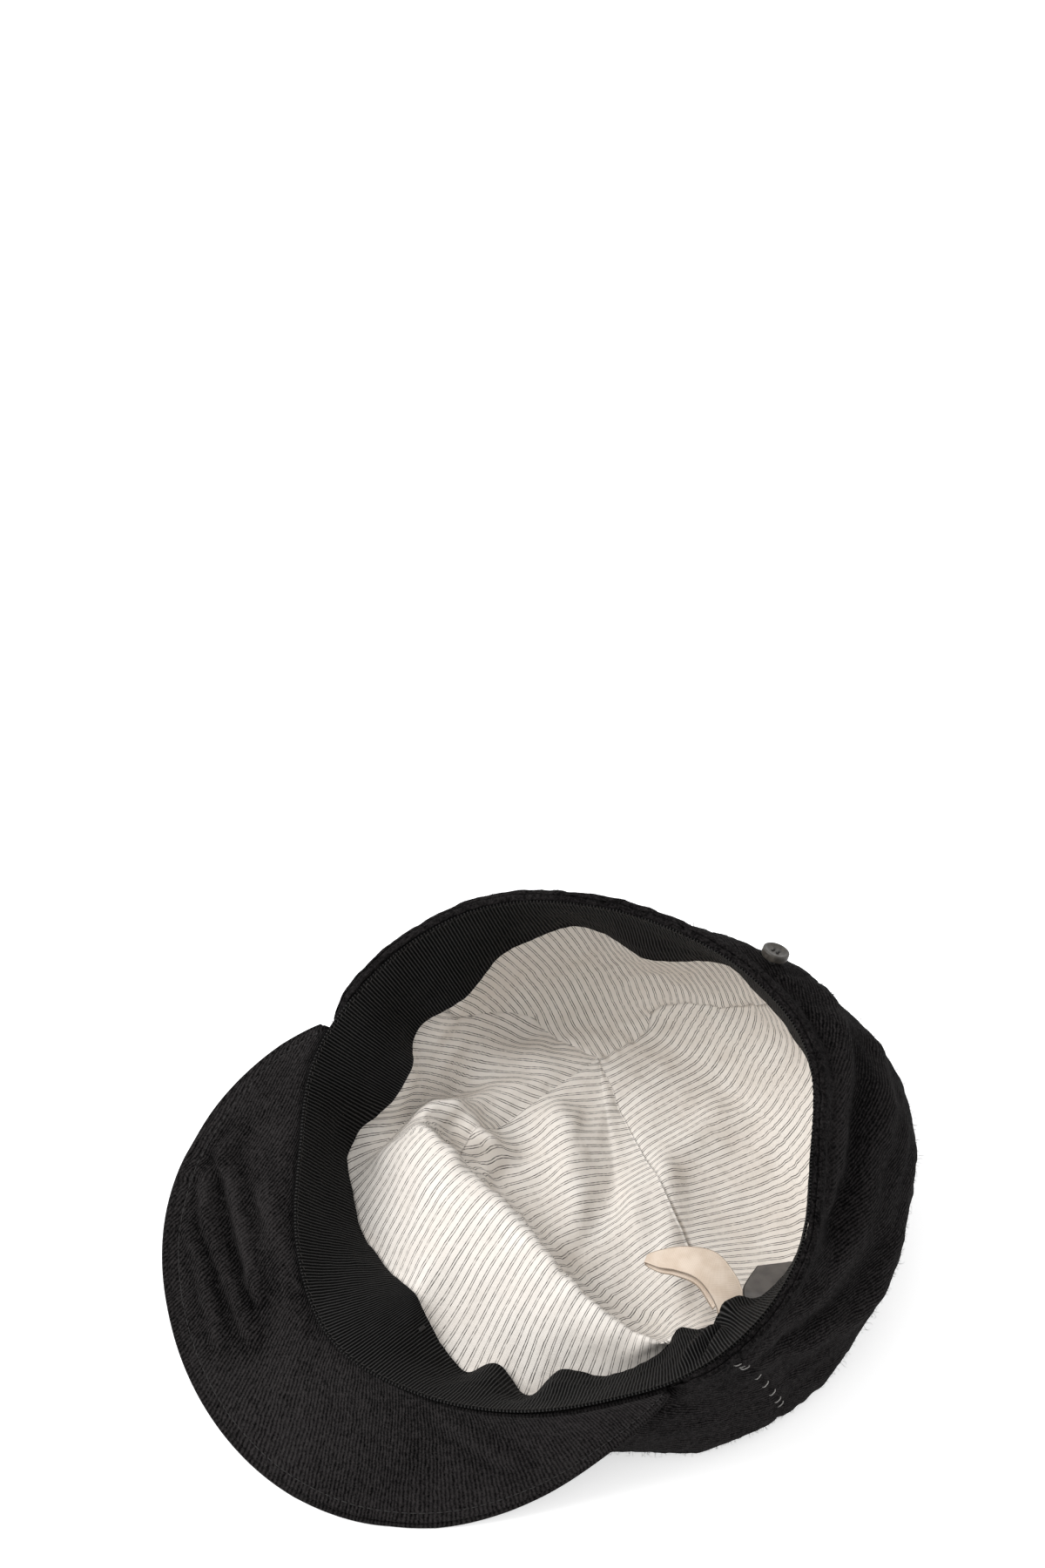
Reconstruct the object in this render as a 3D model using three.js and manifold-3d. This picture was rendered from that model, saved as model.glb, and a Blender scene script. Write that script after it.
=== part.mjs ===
// A soft wool field cap lying upside down on its crown, with the opening towards the viewer.
// The crown is four curved wool panels, and the peak is two layers of the same cloth. A grosgrain
// sweatband is sewn round the opening over a four panel cotton lining, which has slumped into a fold
// behind the peak. A care label and a satin tab hang from the sweatband, and one small horn button
// stands on its thread shank at the back.
//
// Millimetres, +Z up. The floor is z = 0, the peak points along -Y and the wearer's right is +X.
// Headings are degrees anticlockwise from +X, seen from above.
import * as THREE from "three";
import * as BufferGeometryUtils from "three/addons/utils/BufferGeometryUtils.js";
import Module from "manifold-3d";

const wasm = await Module();
wasm.setup();

// Driving sizes.
const WOOL = 2.0; // thickness of the crown cloth
const HEM = 4.0; // thickness of the crown cloth turned over on itself at the opening
const PEAK_CLOTH = 1.5; // thickness of each layer of the peak
const RIBBON = 1.0; // thickness of the sweatband
const RIBBON_WIDTH = 35.0;
const COTTON = 1.0; // thickness of the lining
const SEAM_GAP = 0.3; // space kept between two pieces that are sewn together

const OPENING_CENTRE = new THREE.Vector2(5, 0);
const OPENING_HEIGHT = 73.95; // height of the opening over the middle of the floor
const OPENING_RISE_BACK = 0.35; // the opening's plane climbs towards the back...
const OPENING_FALL_RIGHT = 0.05; // ...and drops a little towards the wearer's right

const SECTION_STEP = 22.5; // degrees between the rows of the two tables below

// The crown cloth, one row for each section. rim: radius of the opening. lean: slope of the
// sweatband, 0 flat inwards, 90 straight down. waist: radius where the crown starts to swell, and
// how far it lies under the opening. bulge: widest radius and its height. foot: radius at the floor.
const CROWN_SECTIONS = [
  // rim, lean, waist, waistDrop, bulge, bulgeZ, foot
  [94.0, 50, 95, 20, 95, 18, 90],
  [95.5, 66, 101, 22, 108, 24, 102],
  [90.0, 90, 101, 18, 123, 42, 107],
  [92.0, 101, 106, 15, 133, 48, 117],
  [88.0, 109, 103, 14, 128, 48, 114],
  [85.5, 109, 99, 22, 120, 42, 108],
  [88.0, 107, 100, 24, 115, 40, 104],
  [93.5, 93, 100, 22, 112, 38, 102],
  [94.0, 67, 99, 20, 109.5, 36, 98],
  [91.0, 50, 95, 20, 102, 30, 92],
  [85.0, 66, 88, 22, 95, 20, 84],
  [86.5, 45, 88, 20, 92, 16, 82],
  [89.0, 15, 89, 18, 90, 14, 80],
  [86.0, 38, 86, 20, 85, 16, 76],
  [85.0, 46, 81, 20, 80, 18, 70],
  [87.0, 51, 82, 20, 83, 20, 75],
].map(([rim, lean, waist, waistDrop, bulge, bulgeZ, foot]) => ({
  rim, lean, waist, waistDrop, bulge, bulgeZ, foot,
}));
const CROWN_APEX = new THREE.Vector3(7, 46, WOOL / 2);
const CROWN_INNER_RING = 0.5; // where the crown's last ring lies between the apex and the foot
const APEX_RADIUS = 1.2; // the four panels stop this short of the apex they are sewn to

// The lining, one row for each section: a point on its wall or on the crest of the slumped fold, and
// the point at the foot of it. From there the cloth runs on to the lining's own apex.
const LINING_SECTIONS = [
  // wallX, wallY, wallZ, footX, footY, footZ
  [63, 20, 36, 37, 34, 20],
  [91, 46, 28, 67, 54, 10],
  [85, 80, 32, 59, 78, 8],
  [49, 110, 34, 33, 94, 8],
  [4, 116, 34, -5, 98, 8],
  [-37, 102, 32, -37, 92, 8],
  [-69, 78, 30, -59, 76, 9],
  [-81, 44, 30, -69, 50, 12],
  [-73, 14, 34, -67, 22, 18],
  [-63, -10, 34, -63, 4, 20],
  [-55, -28, 24, -55, -8, 18],
  [-33, -30, 40, -43, -1, 15],
  [-1, -16, 47, -9, 3, 13],
  [21, -13, 47, 13, 4, 14],
  [43, -11, 46, 33, 7, 14],
  [63, -5, 42, 47, 14, 18],
].map(([wallX, wallY, wallZ, footX, footY, footZ]) => ({
  wall: new THREE.Vector3(wallX, wallY, wallZ),
  foot: new THREE.Vector3(footX, footY, footZ),
}));
const LINING_APEX = new THREE.Vector3(-46, 64, 12);
const LINING_UNDER_RIBBON = 14.0; // how far down the sweatband the lining starts
const LINING_PAST_RIBBON = 2.0; // how far it runs straight on past the sweatband's free edge

// Soft ridges (and, below zero, valleys) lifted in the slumped lining, from one point to another.
const LINING_FOLDS = [
  // fromX, fromY, toX, toY, height, width
  [-27, 24, 7, 0, 7, 9],
  [3, 16, 21, 46, -4, 12],
  [21, 30, 33, 70, 5, 9],
].map(([fromX, fromY, toX, toY, height, width]) => ({
  from: new THREE.Vector2(fromX, fromY),
  to: new THREE.Vector2(toX, toY),
  height,
  width,
}));

// The seams where panels meet, as headings: at the opening, and where they have wandered to lower down.
const CROWN_SEAMS = { right: [2, 12], back: [88, 88], left: [180, 180], front: [272, 272] };
const LINING_SEAMS = { right: [4, 10], back: [90, 97], left: [175, 166], front: [272, 248] };

// The peak, from its left end round the front to its right end.
const PEAK_FROM = 197.0;
const PEAK_TO = 348.0;
const PEAK_DEPTH = 54.5;
const PEAK_ROUNDNESS = 0.6; // how full the peak's outline is towards its ends
const PEAK_LOPSIDED = 0.05; // share by which the left half is deeper than the right
const PEAK_SAG = 3.0; // how far the middle of the peak hangs below a straight line
const PEAK_SLOPES = [30, 17, 20, 32, 46, 57, 72, 84, 88]; // degrees down from flat, left end to right
const PEAK_START = 1.2; // how far outside the sweatband's edge the peak begins, at the least
const PEAK_ROLL = 2.4; // how much further out the outer layer reaches, to roll over the edge

// The button.
const BUTTON_RADIUS = 4.8;
const BUTTON_THICKNESS = 3.0;
const BUTTON_DISH = 0.6; // depth of the dish in its face
const BUTTON_RIM = 1.1; // width of the raised rim round the dish
const BUTTON_HOLE_RADIUS = 0.55;
const BUTTON_HOLE_OFFSET = 0.95; // each hole's distance from the two centre lines
const BUTTON_HEADING = 92.5;
const BUTTON_ROW = 0.38; // how far down the crown cloth it is sewn
const SHANK_RADIUS = 1.3;
const SHANK_LENGTH = 1.6;

// Mesh steps.
const CROWN_COLUMNS = 12; // in each panel
const LINING_COLUMNS = 14;
const CROWN_ROWS = 12;
const LINING_ROWS = 15;
const RIBBON_COLUMNS = 72;
const PEAK_COLUMNS = 26;
const PEAK_ROWS = 5;
const TAPE_STEPS = 14;
const ROUND_SIDES = 28;

const DEGREES = Math.PI / 180;
const UP = new THREE.Vector3(0, 0, 1);

// ---------------------------------------------------------------- curves and frames

function catmullRom(a, b, c, d, t) {
  const cubic = -a + 3 * b - 3 * c + d;
  const square = 2 * a - 5 * b + 4 * c - d;
  return 0.5 * (2 * b + (c - a) * t + square * t * t + cubic * t * t * t);
}

// A smooth closed run through one value for each section.
function roundValue(values, heading) {
  const count = values.length;
  const place = ((((heading / SECTION_STEP) % count) + count) % count);
  const i = Math.floor(place);
  const at = (k) => values[(i + k + count) % count];
  return catmullRom(at(-1), at(0), at(1), at(2), place - i);
}

function roundPoint(points, heading) {
  const value = (axis) => roundValue(points.map((p) => p[axis]), heading);
  return new THREE.Vector3(value("x"), value("y"), value("z"));
}

// A smooth open run through values spread evenly from 0 to 1.
function alongValue(values, t) {
  const last = values.length - 1;
  const place = THREE.MathUtils.clamp(t, 0, 1) * last;
  const i = Math.min(Math.floor(place), last - 1);
  const before = i > 0 ? values[i - 1] : 2 * values[0] - values[1];
  const after = i + 2 <= last ? values[i + 2] : 2 * values[last] - values[last - 1];
  return catmullRom(before, values[i], values[i + 1], after, place - i);
}

const alongPoints = (points, t) =>
  new THREE.CatmullRomCurve3(points, false, "centripetal").getPoint(THREE.MathUtils.clamp(t, 0, 1));

const outward = (heading) =>
  new THREE.Vector3(Math.cos(heading * DEGREES), Math.sin(heading * DEGREES), 0);

function openingHeight(x, y) {
  return OPENING_HEIGHT + OPENING_RISE_BACK * y - OPENING_FALL_RIGHT * x;
}

// A point at a radius round the opening's centre, a drop below the opening's plane.
function belowOpening(heading, radius, drop) {
  const p = outward(heading).multiplyScalar(radius);
  p.x += OPENING_CENTRE.x;
  p.y += OPENING_CENTRE.y;
  p.z = openingHeight(p.x, p.y) - drop;
  return p;
}

const crownColumn = (name) => CROWN_SECTIONS.map((section) => section[name]);
const RIM_RADII = crownColumn("rim");
const LEANS = crownColumn("lean");

const rimPoint = (heading) => belowOpening(heading, roundValue(RIM_RADII, heading), 0);

// The frame on the rim: out is level and square to the rim, down is square to both.
function rimFrame(heading) {
  const step = 0.5;
  const along = rimPoint(heading + step).sub(rimPoint(heading - step)).normalize();
  const out = outward(heading);
  out.addScaledVector(along, -out.dot(along)).normalize();
  const down = new THREE.Vector3().crossVectors(out, along).normalize();
  if (down.z > 0) down.negate();
  return { at: rimPoint(heading), out, down };
}

// A point a distance down the sweatband and a distance out behind it.
function sweatPoint(heading, distance, behind) {
  const { at, out, down } = rimFrame(heading);
  const lean = roundValue(LEANS, heading) * DEGREES;
  const cos = Math.cos(lean);
  const sin = Math.sin(lean);
  return at
    .addScaledVector(out, behind * sin - distance * cos)
    .addScaledVector(down, behind * cos + distance * sin);
}

// ---------------------------------------------------------------- sheets of cloth

// The normal of a surface at a heading h and a row t.
function normalAt(surface, h, t, turn) {
  const across = surface(h + turn, t).sub(surface(h - turn, t));
  const down = surface(h, Math.min(t + 1e-3, 1)).sub(surface(h, Math.max(t - 1e-3, 0)));
  return new THREE.Vector3().crossVectors(across, down).normalize();
}

// Points and normals of a surface between two seams, each seam given as a heading for each row.
function patch(surface, seamA, seamB, columns, rows) {
  const grid = [];
  for (let r = 0; r < rows.length; r += 1) {
    const t = rows[r];
    const a = seamA(t);
    const b = seamB(t);
    const row = [];
    for (let c = 0; c <= columns; c += 1) {
      const h = a + ((b - a) * c) / columns;
      row.push({ at: surface(h, t), normal: normalAt(surface, h, t, (b - a) * 1e-3), t });
    }
    grid.push(row);
  }
  return grid;
}

// Draws a row in at both ends, so that neighbouring panels keep the seam gap.
function trimRow(row, trim) {
  const lengths = [0];
  for (let i = 1; i < row.length; i += 1) {
    lengths.push(lengths[i - 1] + row[i].at.distanceTo(row[i - 1].at));
  }
  const total = lengths[lengths.length - 1];
  return row.map((_, i) => {
    const wanted = trim + (lengths[i] / total) * (total - 2 * trim);
    let k = 1;
    while (k < row.length - 1 && lengths[k] < wanted) k += 1;
    const share = (wanted - lengths[k - 1]) / (lengths[k] - lengths[k - 1]);
    return {
      at: row[k - 1].at.clone().lerp(row[k].at, share),
      normal: row[k - 1].normal.clone().lerp(row[k].normal, share).normalize(),
      t: row[i].t,
    };
  });
}

// A closed sheet over a grid of points, reaching half its thickness to both sides.
function sheet(grid, thickness, closed = false) {
  const rows = grid.length;
  const columns = grid[0].length;
  const positions = [];
  for (const side of [1, -1]) {
    for (const row of grid) {
      for (const point of row) {
        const half = (typeof thickness === "number" ? thickness : thickness(point)) / 2;
        positions.push(...point.at.clone().addScaledVector(point.normal, side * half));
      }
    }
  }
  const front = (r, c) => r * columns + (closed ? c % columns : c);
  const back = (r, c) => rows * columns + front(r, c);
  const index = [];
  const quad = (a, b, c, d) => index.push(a, b, c, a, c, d);
  const spans = closed ? columns : columns - 1;
  for (let r = 0; r < rows - 1; r += 1) {
    for (let c = 0; c < spans; c += 1) {
      quad(front(r, c), front(r + 1, c), front(r + 1, c + 1), front(r, c + 1));
      quad(back(r, c), back(r, c + 1), back(r + 1, c + 1), back(r + 1, c));
    }
  }
  for (let c = 0; c < spans; c += 1) {
    quad(front(0, c + 1), back(0, c + 1), back(0, c), front(0, c));
    quad(front(rows - 1, c), back(rows - 1, c), back(rows - 1, c + 1), front(rows - 1, c + 1));
  }
  if (!closed) {
    for (let r = 0; r < rows - 1; r += 1) {
      quad(front(r, 0), back(r, 0), back(r + 1, 0), front(r + 1, 0));
      quad(front(r, columns - 1), front(r + 1, columns - 1), back(r + 1, columns - 1), back(r, columns - 1));
    }
  }
  const geometry = new THREE.BufferGeometry();
  geometry.setAttribute("position", new THREE.Float32BufferAttribute(positions, 3));
  geometry.setIndex(signedVolume(positions, index) < 0 ? flipped(index) : index);
  return geometry;
}

function signedVolume(positions, index) {
  let volume = 0;
  const corner = (i) => new THREE.Vector3().fromArray(positions, 3 * i);
  for (let i = 0; i < index.length; i += 3) {
    volume += corner(index[i]).dot(corner(index[i + 1]).cross(corner(index[i + 2])));
  }
  return volume;
}

function flipped(index) {
  const out = [];
  for (let i = 0; i < index.length; i += 3) out.push(index[i], index[i + 2], index[i + 1]);
  return out;
}

const steps = (from, to, count) =>
  Array.from({ length: count + 1 }, (_, i) => from + ((to - from) * i) / count);

// ---------------------------------------------------------------- crown

const peakShare = (heading) => ((((heading % 360) + 360) % 360) - PEAK_FROM) / (PEAK_TO - PEAK_FROM);

// Degrees that the peak slopes down from flat.
const peakSlope = (heading) => alongValue(PEAK_SLOPES, peakShare(heading));

// 1 where the peak is sewn over the crown's edge, falling to 0 past its two ends.
function underPeak(heading) {
  const h = ((heading % 360) + 360) % 360;
  const fade = 8;
  const rise = THREE.MathUtils.smoothstep(h, PEAK_FROM - fade, PEAK_FROM);
  return rise * (1 - THREE.MathUtils.smoothstep(h, PEAK_TO, PEAK_TO + fade));
}

const HEM_END = 0.24; // share of the crown's rows taken by the turned hem
const HEM_SEAT = 2 * SEAM_GAP + (RIBBON + HEM) / 2; // hem's middle, out from the sweatband's middle
const HEM_RINGS = [
  // distance below the opening, share of the way out to the waist, thickness
  { below: -1.8, flare: 0, thickness: HEM * 0.55 },
  { below: -0.4, flare: 0, thickness: HEM },
  { below: 3.2, flare: 0.15, thickness: HEM },
  { below: 5.4, flare: 0.35, thickness: WOOL },
];

// Under the peak the crown cloth starts in the wedge between the peak and the sweatband, as soon as
// there is room for it, and runs on down the middle of the wedge.
function wedgeRing(heading, ring) {
  const { at, out, down } = rimFrame(heading);
  const toPeak = peakSlope(heading);
  const toRibbon = 180 - roundValue(LEANS, heading);
  const half = ((toRibbon - toPeak) / 2) * DEGREES;
  const middle = ((toRibbon + toPeak) / 2) * DEGREES;
  const room = PEAK_CLOTH + 2.5 * SEAM_GAP + PEAK_SAG / 3 + WOOL / 2;
  const distance = room / Math.sin(half) + (ring.below - HEM_RINGS[0].below) * 0.5;
  return at.addScaledVector(out, distance * Math.cos(middle)).addScaledVector(down, distance * Math.sin(middle));
}

// In the open the turned hem stands just outside the sweatband and flares towards the waist below it.
function hemRing(heading, ring) {
  const { at, out, down } = rimFrame(heading);
  const swell = roundValue(crownColumn("waist"), heading) - roundValue(RIM_RADII, heading) - HEM_SEAT;
  const ribbonSpread = -ring.below * Math.cos(roundValue(LEANS, heading) * DEGREES);
  const spread = Math.max(ring.flare * swell, ribbonSpread, 0);
  const open = at.addScaledVector(out, HEM_SEAT + spread).addScaledVector(down, ring.below);
  return open.lerp(wedgeRing(heading, ring), underPeak(heading));
}

function crownRings(heading) {
  const value = (name) => roundValue(crownColumn(name), heading);
  const last = HEM_RINGS[HEM_RINGS.length - 1];
  const waist = belowOpening(heading, value("waist"), value("waistDrop"));
  const bulge = belowOpening(heading, value("bulge"), 0).setZ(value("bulgeZ"));
  const foot = belowOpening(heading, value("foot"), 0).setZ(WOOL / 2);
  const inner = foot.clone().lerp(CROWN_APEX, CROWN_INNER_RING);
  const apex = outward(heading).multiplyScalar(APEX_RADIUS).add(CROWN_APEX);
  return [hemRing(heading, last), waist, bulge, foot, inner, apex];
}

// The middle of the crown cloth: t runs from the hem's fold down round the bulge to the apex.
function crownSurface(heading, t) {
  if (t < HEM_END) {
    const place = (t / HEM_END) * (HEM_RINGS.length - 1);
    const i = Math.min(Math.floor(place), HEM_RINGS.length - 2);
    return hemRing(heading, HEM_RINGS[i]).lerp(hemRing(heading, HEM_RINGS[i + 1]), place - i);
  }
  const p = alongPoints(crownRings(heading), (t - HEM_END) / (1 - HEM_END));
  p.z = Math.max(p.z, WOOL / 2);
  return p;
}

function crownThickness(heading, t) {
  if (t >= HEM_END) return WOOL;
  const place = (t / HEM_END) * (HEM_RINGS.length - 1);
  const i = Math.min(Math.floor(place + 1e-6), HEM_RINGS.length - 2);
  const turned = THREE.MathUtils.lerp(HEM_RINGS[i].thickness, HEM_RINGS[i + 1].thickness, place - i);
  return THREE.MathUtils.lerp(turned, WOOL, underPeak(heading));
}

const CROWN_STEPS = [
  ...steps(0, HEM_END, HEM_RINGS.length - 1).slice(0, -1),
  ...steps(HEM_END, 1, CROWN_ROWS),
];

// A seam's heading at each row: it wanders from its place at the opening to its place lower down.
const SEAM_WANDERS_TO = 0.6;
const seamLine = ([atOpening, below], straight, turn = 0) => (t) =>
  atOpening + (below - atOpening) * THREE.MathUtils.smoothstep(t, straight, SEAM_WANDERS_TO) + turn;

function crownPanel(from, to, turn) {
  const seamA = seamLine(CROWN_SEAMS[from], HEM_END);
  const seamB = seamLine(CROWN_SEAMS[to], HEM_END, turn);
  const grid = patch(crownSurface, seamA, seamB, CROWN_COLUMNS, CROWN_STEPS);
  grid.forEach((row) => {
    const a = seamA(row[0].t);
    const b = seamB(row[0].t);
    row.forEach((point, c) => {
      point.thickness = crownThickness(a + ((b - a) * c) / CROWN_COLUMNS, point.t);
    });
  });
  const trimmed = grid.map((row) =>
    trimRow(row, 0.75 * SEAM_GAP).map((point, c) => ({ ...point, thickness: row[c].thickness })),
  );
  return sheet(trimmed, (point) => point.thickness);
}

// ---------------------------------------------------------------- sweatband and lining

function sweatband() {
  const surface = (heading, t) => sweatPoint(heading, t * RIBBON_WIDTH, 0);
  const whole = patch(surface, () => 0, () => 360, RIBBON_COLUMNS, steps(0, 1, 4));
  const ring = whole.map((row) => row.slice(0, -1));
  return sheet(ring, RIBBON, true);
}

function foldLift(point) {
  const here = new THREE.Vector2(point.x, point.y);
  let lift = 0;
  for (const { from, to, height, width } of LINING_FOLDS) {
    const run = to.clone().sub(from);
    const share = THREE.MathUtils.clamp(here.clone().sub(from).dot(run) / run.lengthSq(), 0, 1);
    const away = here.distanceTo(from.clone().addScaledVector(run, share)) / width;
    lift += height * Math.exp(-away * away);
  }
  return lift;
}

const BEHIND_RIBBON = 4 * SEAM_GAP + (RIBBON + COTTON) / 2;
const LINING_HIDDEN = 3 / 15; // share of the lining's rows that stays flat behind the sweatband

function liningSurface(heading, t) {
  const wall = roundPoint(LINING_SECTIONS.map((section) => section.wall), heading);
  const foot = roundPoint(LINING_SECTIONS.map((section) => section.foot), heading);
  const apex = outward(heading).multiplyScalar(APEX_RADIUS).add(LINING_APEX);
  const edge = sweatPoint(heading, RIBBON_WIDTH + LINING_PAST_RIBBON, BEHIND_RIBBON);
  if (t < LINING_HIDDEN) {
    return sweatPoint(heading, LINING_UNDER_RIBBON, BEHIND_RIBBON).lerp(edge, t / LINING_HIDDEN);
  }
  const run = (t - LINING_HIDDEN) / (1 - LINING_HIDDEN);
  const p = alongPoints([edge, wall, foot, foot.clone().lerp(LINING_APEX, 0.55), apex], run);
  p.z += foldLift(p) * THREE.MathUtils.smoothstep(run, 0.15, 0.4);
  return p;
}

function liningPanel(from, to, turn) {
  const grid = patch(
    liningSurface,
    seamLine(LINING_SEAMS[from], LINING_HIDDEN),
    seamLine(LINING_SEAMS[to], LINING_HIDDEN, turn),
    LINING_COLUMNS,
    steps(0, 1, LINING_ROWS),
  );
  return sheet(grid.map((row) => trimRow(row, SEAM_GAP / 2)), COTTON);
}

// ---------------------------------------------------------------- peak

const PEAK_ENDS = 0.985; // the outline stops just short of a point at each end

// How far from the sweatband's edge the two layers clear its cloth, where the peak folds in over it.
function peakStart(heading) {
  const wedge = (180 - peakSlope(heading) - roundValue(LEANS, heading)) * DEGREES;
  const layers = PEAK_CLOTH + SEAM_GAP / 2;
  const clear = 2 * SEAM_GAP + RIBBON / 2 + layers * Math.cos(wedge);
  return Math.max(PEAK_START, clear / Math.sin(wedge));
}

// One layer of the peak: side is 1 for the layer that faces the wearer's eyes, -1 for the outer one.
function peakLayer(side, reach) {
  const surface = (heading, t) => {
    const u = (2 * peakShare(heading) - 1) * PEAK_ENDS;
    const depth = PEAK_DEPTH * (1 - u * u) ** PEAK_ROUNDNESS * (1 - PEAK_LOPSIDED * u) + reach;
    const slope = peakSlope(heading) * DEGREES;
    const { at, out, down } = rimFrame(heading);
    const along = out.clone().multiplyScalar(Math.cos(slope)).addScaledVector(down, Math.sin(slope));
    const face = out.clone().multiplyScalar(Math.sin(slope)).addScaledVector(down, -Math.cos(slope));
    const start = peakStart(heading);
    const distance = start + (depth - start) * t;
    const sag = PEAK_SAG * 4 * t * (1 - t) * (depth / PEAK_DEPTH);
    const apart = (side * (PEAK_CLOTH + SEAM_GAP)) / 2;
    const p = at.addScaledVector(along, distance).addScaledVector(face, apart - sag);
    p.z = Math.max(p.z, PEAK_CLOTH / 2 + (side > 0 ? PEAK_CLOTH + SEAM_GAP : 0));
    return p;
  };
  const grid = patch(surface, () => PEAK_FROM, () => PEAK_TO, PEAK_COLUMNS, steps(0, 1, PEAK_ROWS));
  return sheet(grid, PEAK_CLOTH);
}

// ---------------------------------------------------------------- label, tab and button

// A strip of tape between two smooth edges, given as matching lists of points.
function tape(edgeA, edgeB, thickness) {
  const toVectors = (edge) => edge.map(([x, y, z]) => new THREE.Vector3(x, y, z));
  const a = toVectors(edgeA);
  const b = toVectors(edgeB);
  const surface = (s, t) => alongPoints(a, t).lerp(alongPoints(b, t), s);
  return sheet(patch(surface, () => 0, () => 1, 3, steps(0, 1, TAPE_STEPS)), thickness);
}

// The care label: a folded cotton tape that curls out from under the sweatband.
const careLabel = () => tape(
  [[76.5, 20, 43], [68, 21, 48], [58, 20, 47], [45, 15, 40]],
  [[73, 35, 44], [63, 37, 46], [52, 34, 42], [41, 19, 37]],
  COTTON,
);

// The tab: a satin tape turned back on itself in a round fold.
const satinTab = () => tape(
  [[76, 35, 45], [72, 35, 49], [67, 39, 47], [63, 43, 40]],
  [[76, 47, 46], [74, 48, 50], [70, 52, 48], [67, 57, 42]],
  COTTON,
);

function toSolid(geometry) {
  const bare = geometry.clone();
  bare.deleteAttribute("normal");
  bare.deleteAttribute("uv");
  const merged = BufferGeometryUtils.mergeVertices(bare);
  return new wasm.Manifold(new wasm.Mesh({
    numProp: 3,
    vertProperties: new Float32Array(merged.attributes.position.array),
    triVerts: new Uint32Array(merged.index.array),
  }));
}

function fromSolid(solid) {
  const { vertProperties, triVerts } = solid.getMesh();
  const geometry = new THREE.BufferGeometry();
  geometry.setAttribute("position", new THREE.Float32BufferAttribute(vertProperties, 3));
  geometry.setIndex(Array.from(triVerts));
  return geometry;
}

// A flat horn disc with a dished face and four holes. Its axis is Z and its back is z = 0.
function buttonGeometry() {
  const bevel = 0.4;
  const outline = [
    [0, 0],
    [BUTTON_RADIUS - bevel, 0],
    [BUTTON_RADIUS, bevel],
    [BUTTON_RADIUS, BUTTON_THICKNESS - bevel],
    [BUTTON_RADIUS - bevel, BUTTON_THICKNESS],
    [BUTTON_RADIUS - BUTTON_RIM, BUTTON_THICKNESS],
    [BUTTON_RADIUS - BUTTON_RIM - BUTTON_DISH, BUTTON_THICKNESS - BUTTON_DISH],
    [0, BUTTON_THICKNESS - BUTTON_DISH],
  ].map(([r, z]) => new THREE.Vector2(r, z));
  const turned = new THREE.LatheGeometry(outline, ROUND_SIDES).rotateX(Math.PI / 2);
  let solid = toSolid(turned);
  for (const x of [-1, 1]) {
    for (const y of [-1, 1]) {
      const drill = new THREE.CylinderGeometry(BUTTON_HOLE_RADIUS, BUTTON_HOLE_RADIUS, 3 * BUTTON_THICKNESS, 8);
      drill.rotateX(Math.PI / 2);
      drill.translate(x * BUTTON_HOLE_OFFSET, y * BUTTON_HOLE_OFFSET, 0);
      solid = solid.subtract(toSolid(drill));
    }
  }
  return fromSolid(solid);
}

function shankGeometry() {
  const shank = new THREE.CylinderGeometry(SHANK_RADIUS, SHANK_RADIUS, SHANK_LENGTH, 12);
  return shank.rotateX(Math.PI / 2).translate(0, 0, SHANK_LENGTH / 2);
}

// Where the button stands: square to the crown's outer face, a seam gap clear of it.
function buttonPlace() {
  const seat = new THREE.Group();
  const axis = normalAt(crownSurface, BUTTON_HEADING, BUTTON_ROW, 0.5);
  if (axis.z < 0) axis.negate();
  const half = crownThickness(BUTTON_HEADING, BUTTON_ROW) / 2;
  seat.position.copy(crownSurface(BUTTON_HEADING, BUTTON_ROW).addScaledVector(axis, half + SEAM_GAP));
  seat.quaternion.setFromUnitVectors(UP, axis);
  return seat;
}

// ---------------------------------------------------------------- materials and assembly

const cloth = (color, roughness) => new THREE.MeshStandardMaterial({ color, roughness, metalness: 0 });
const blackWool = () => cloth(0x1d1b1c, 0.95);
const blackGrosgrain = () => cloth(0x151413, 0.8);
const stripedCotton = () => cloth(0xe2dcd4, 0.9);
const ecruTape = () => cloth(0xddd0bd, 0.85);
const greySatin = () => cloth(0x4a4847, 0.45);
const darkHorn = () => cloth(0x4a463f, 0.4);
const blackThread = () => cloth(0x1a1918, 0.9);

function mesh(name, geometry, material) {
  const piece = new THREE.Mesh(geometry, material);
  piece.name = name;
  return piece;
}

const cap = new THREE.Group();

for (const [name, from, to, turn] of [
  ["back_right", "right", "back", 0],
  ["back_left", "back", "left", 0],
  ["front_left", "left", "front", 0],
  ["front_right", "front", "right", 360],
]) {
  cap.add(mesh(`crown_${name}`, crownPanel(from, to, turn), blackWool()));
  cap.add(mesh(`lining_${name}`, liningPanel(from, to, turn), stripedCotton()));
}

cap.add(mesh("sweatband", sweatband(), blackGrosgrain()));
cap.add(mesh("peak_underside", peakLayer(1, 0), blackWool()));
cap.add(mesh("peak_outer", peakLayer(-1, PEAK_ROLL), blackWool()));
cap.add(mesh("care_label", careLabel(), ecruTape()));
cap.add(mesh("satin_tab", satinTab(), greySatin()));

const seat = buttonPlace();
const button = mesh("button", buttonGeometry(), darkHorn());
button.position.z = SHANK_LENGTH + SEAM_GAP;
seat.add(button);
seat.add(mesh("button_shank", shankGeometry(), blackThread()));
cap.add(seat);

export default cap;
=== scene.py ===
# A soft black wool field cap lying upside down on its crown, with the opening towards the viewer.
# Four wool panels make the crown and two layers of the same cloth make the short peak. A grosgrain
# sweatband is stitched round the opening, over a lining of four striped cotton panels that has
# slumped into a fold behind the peak. Metres, +Z up and the peak along -Y: shapes are worked out in
# millimetres and scaled as each mesh is made. Headings are degrees anticlockwise from +X.
import math

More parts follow.
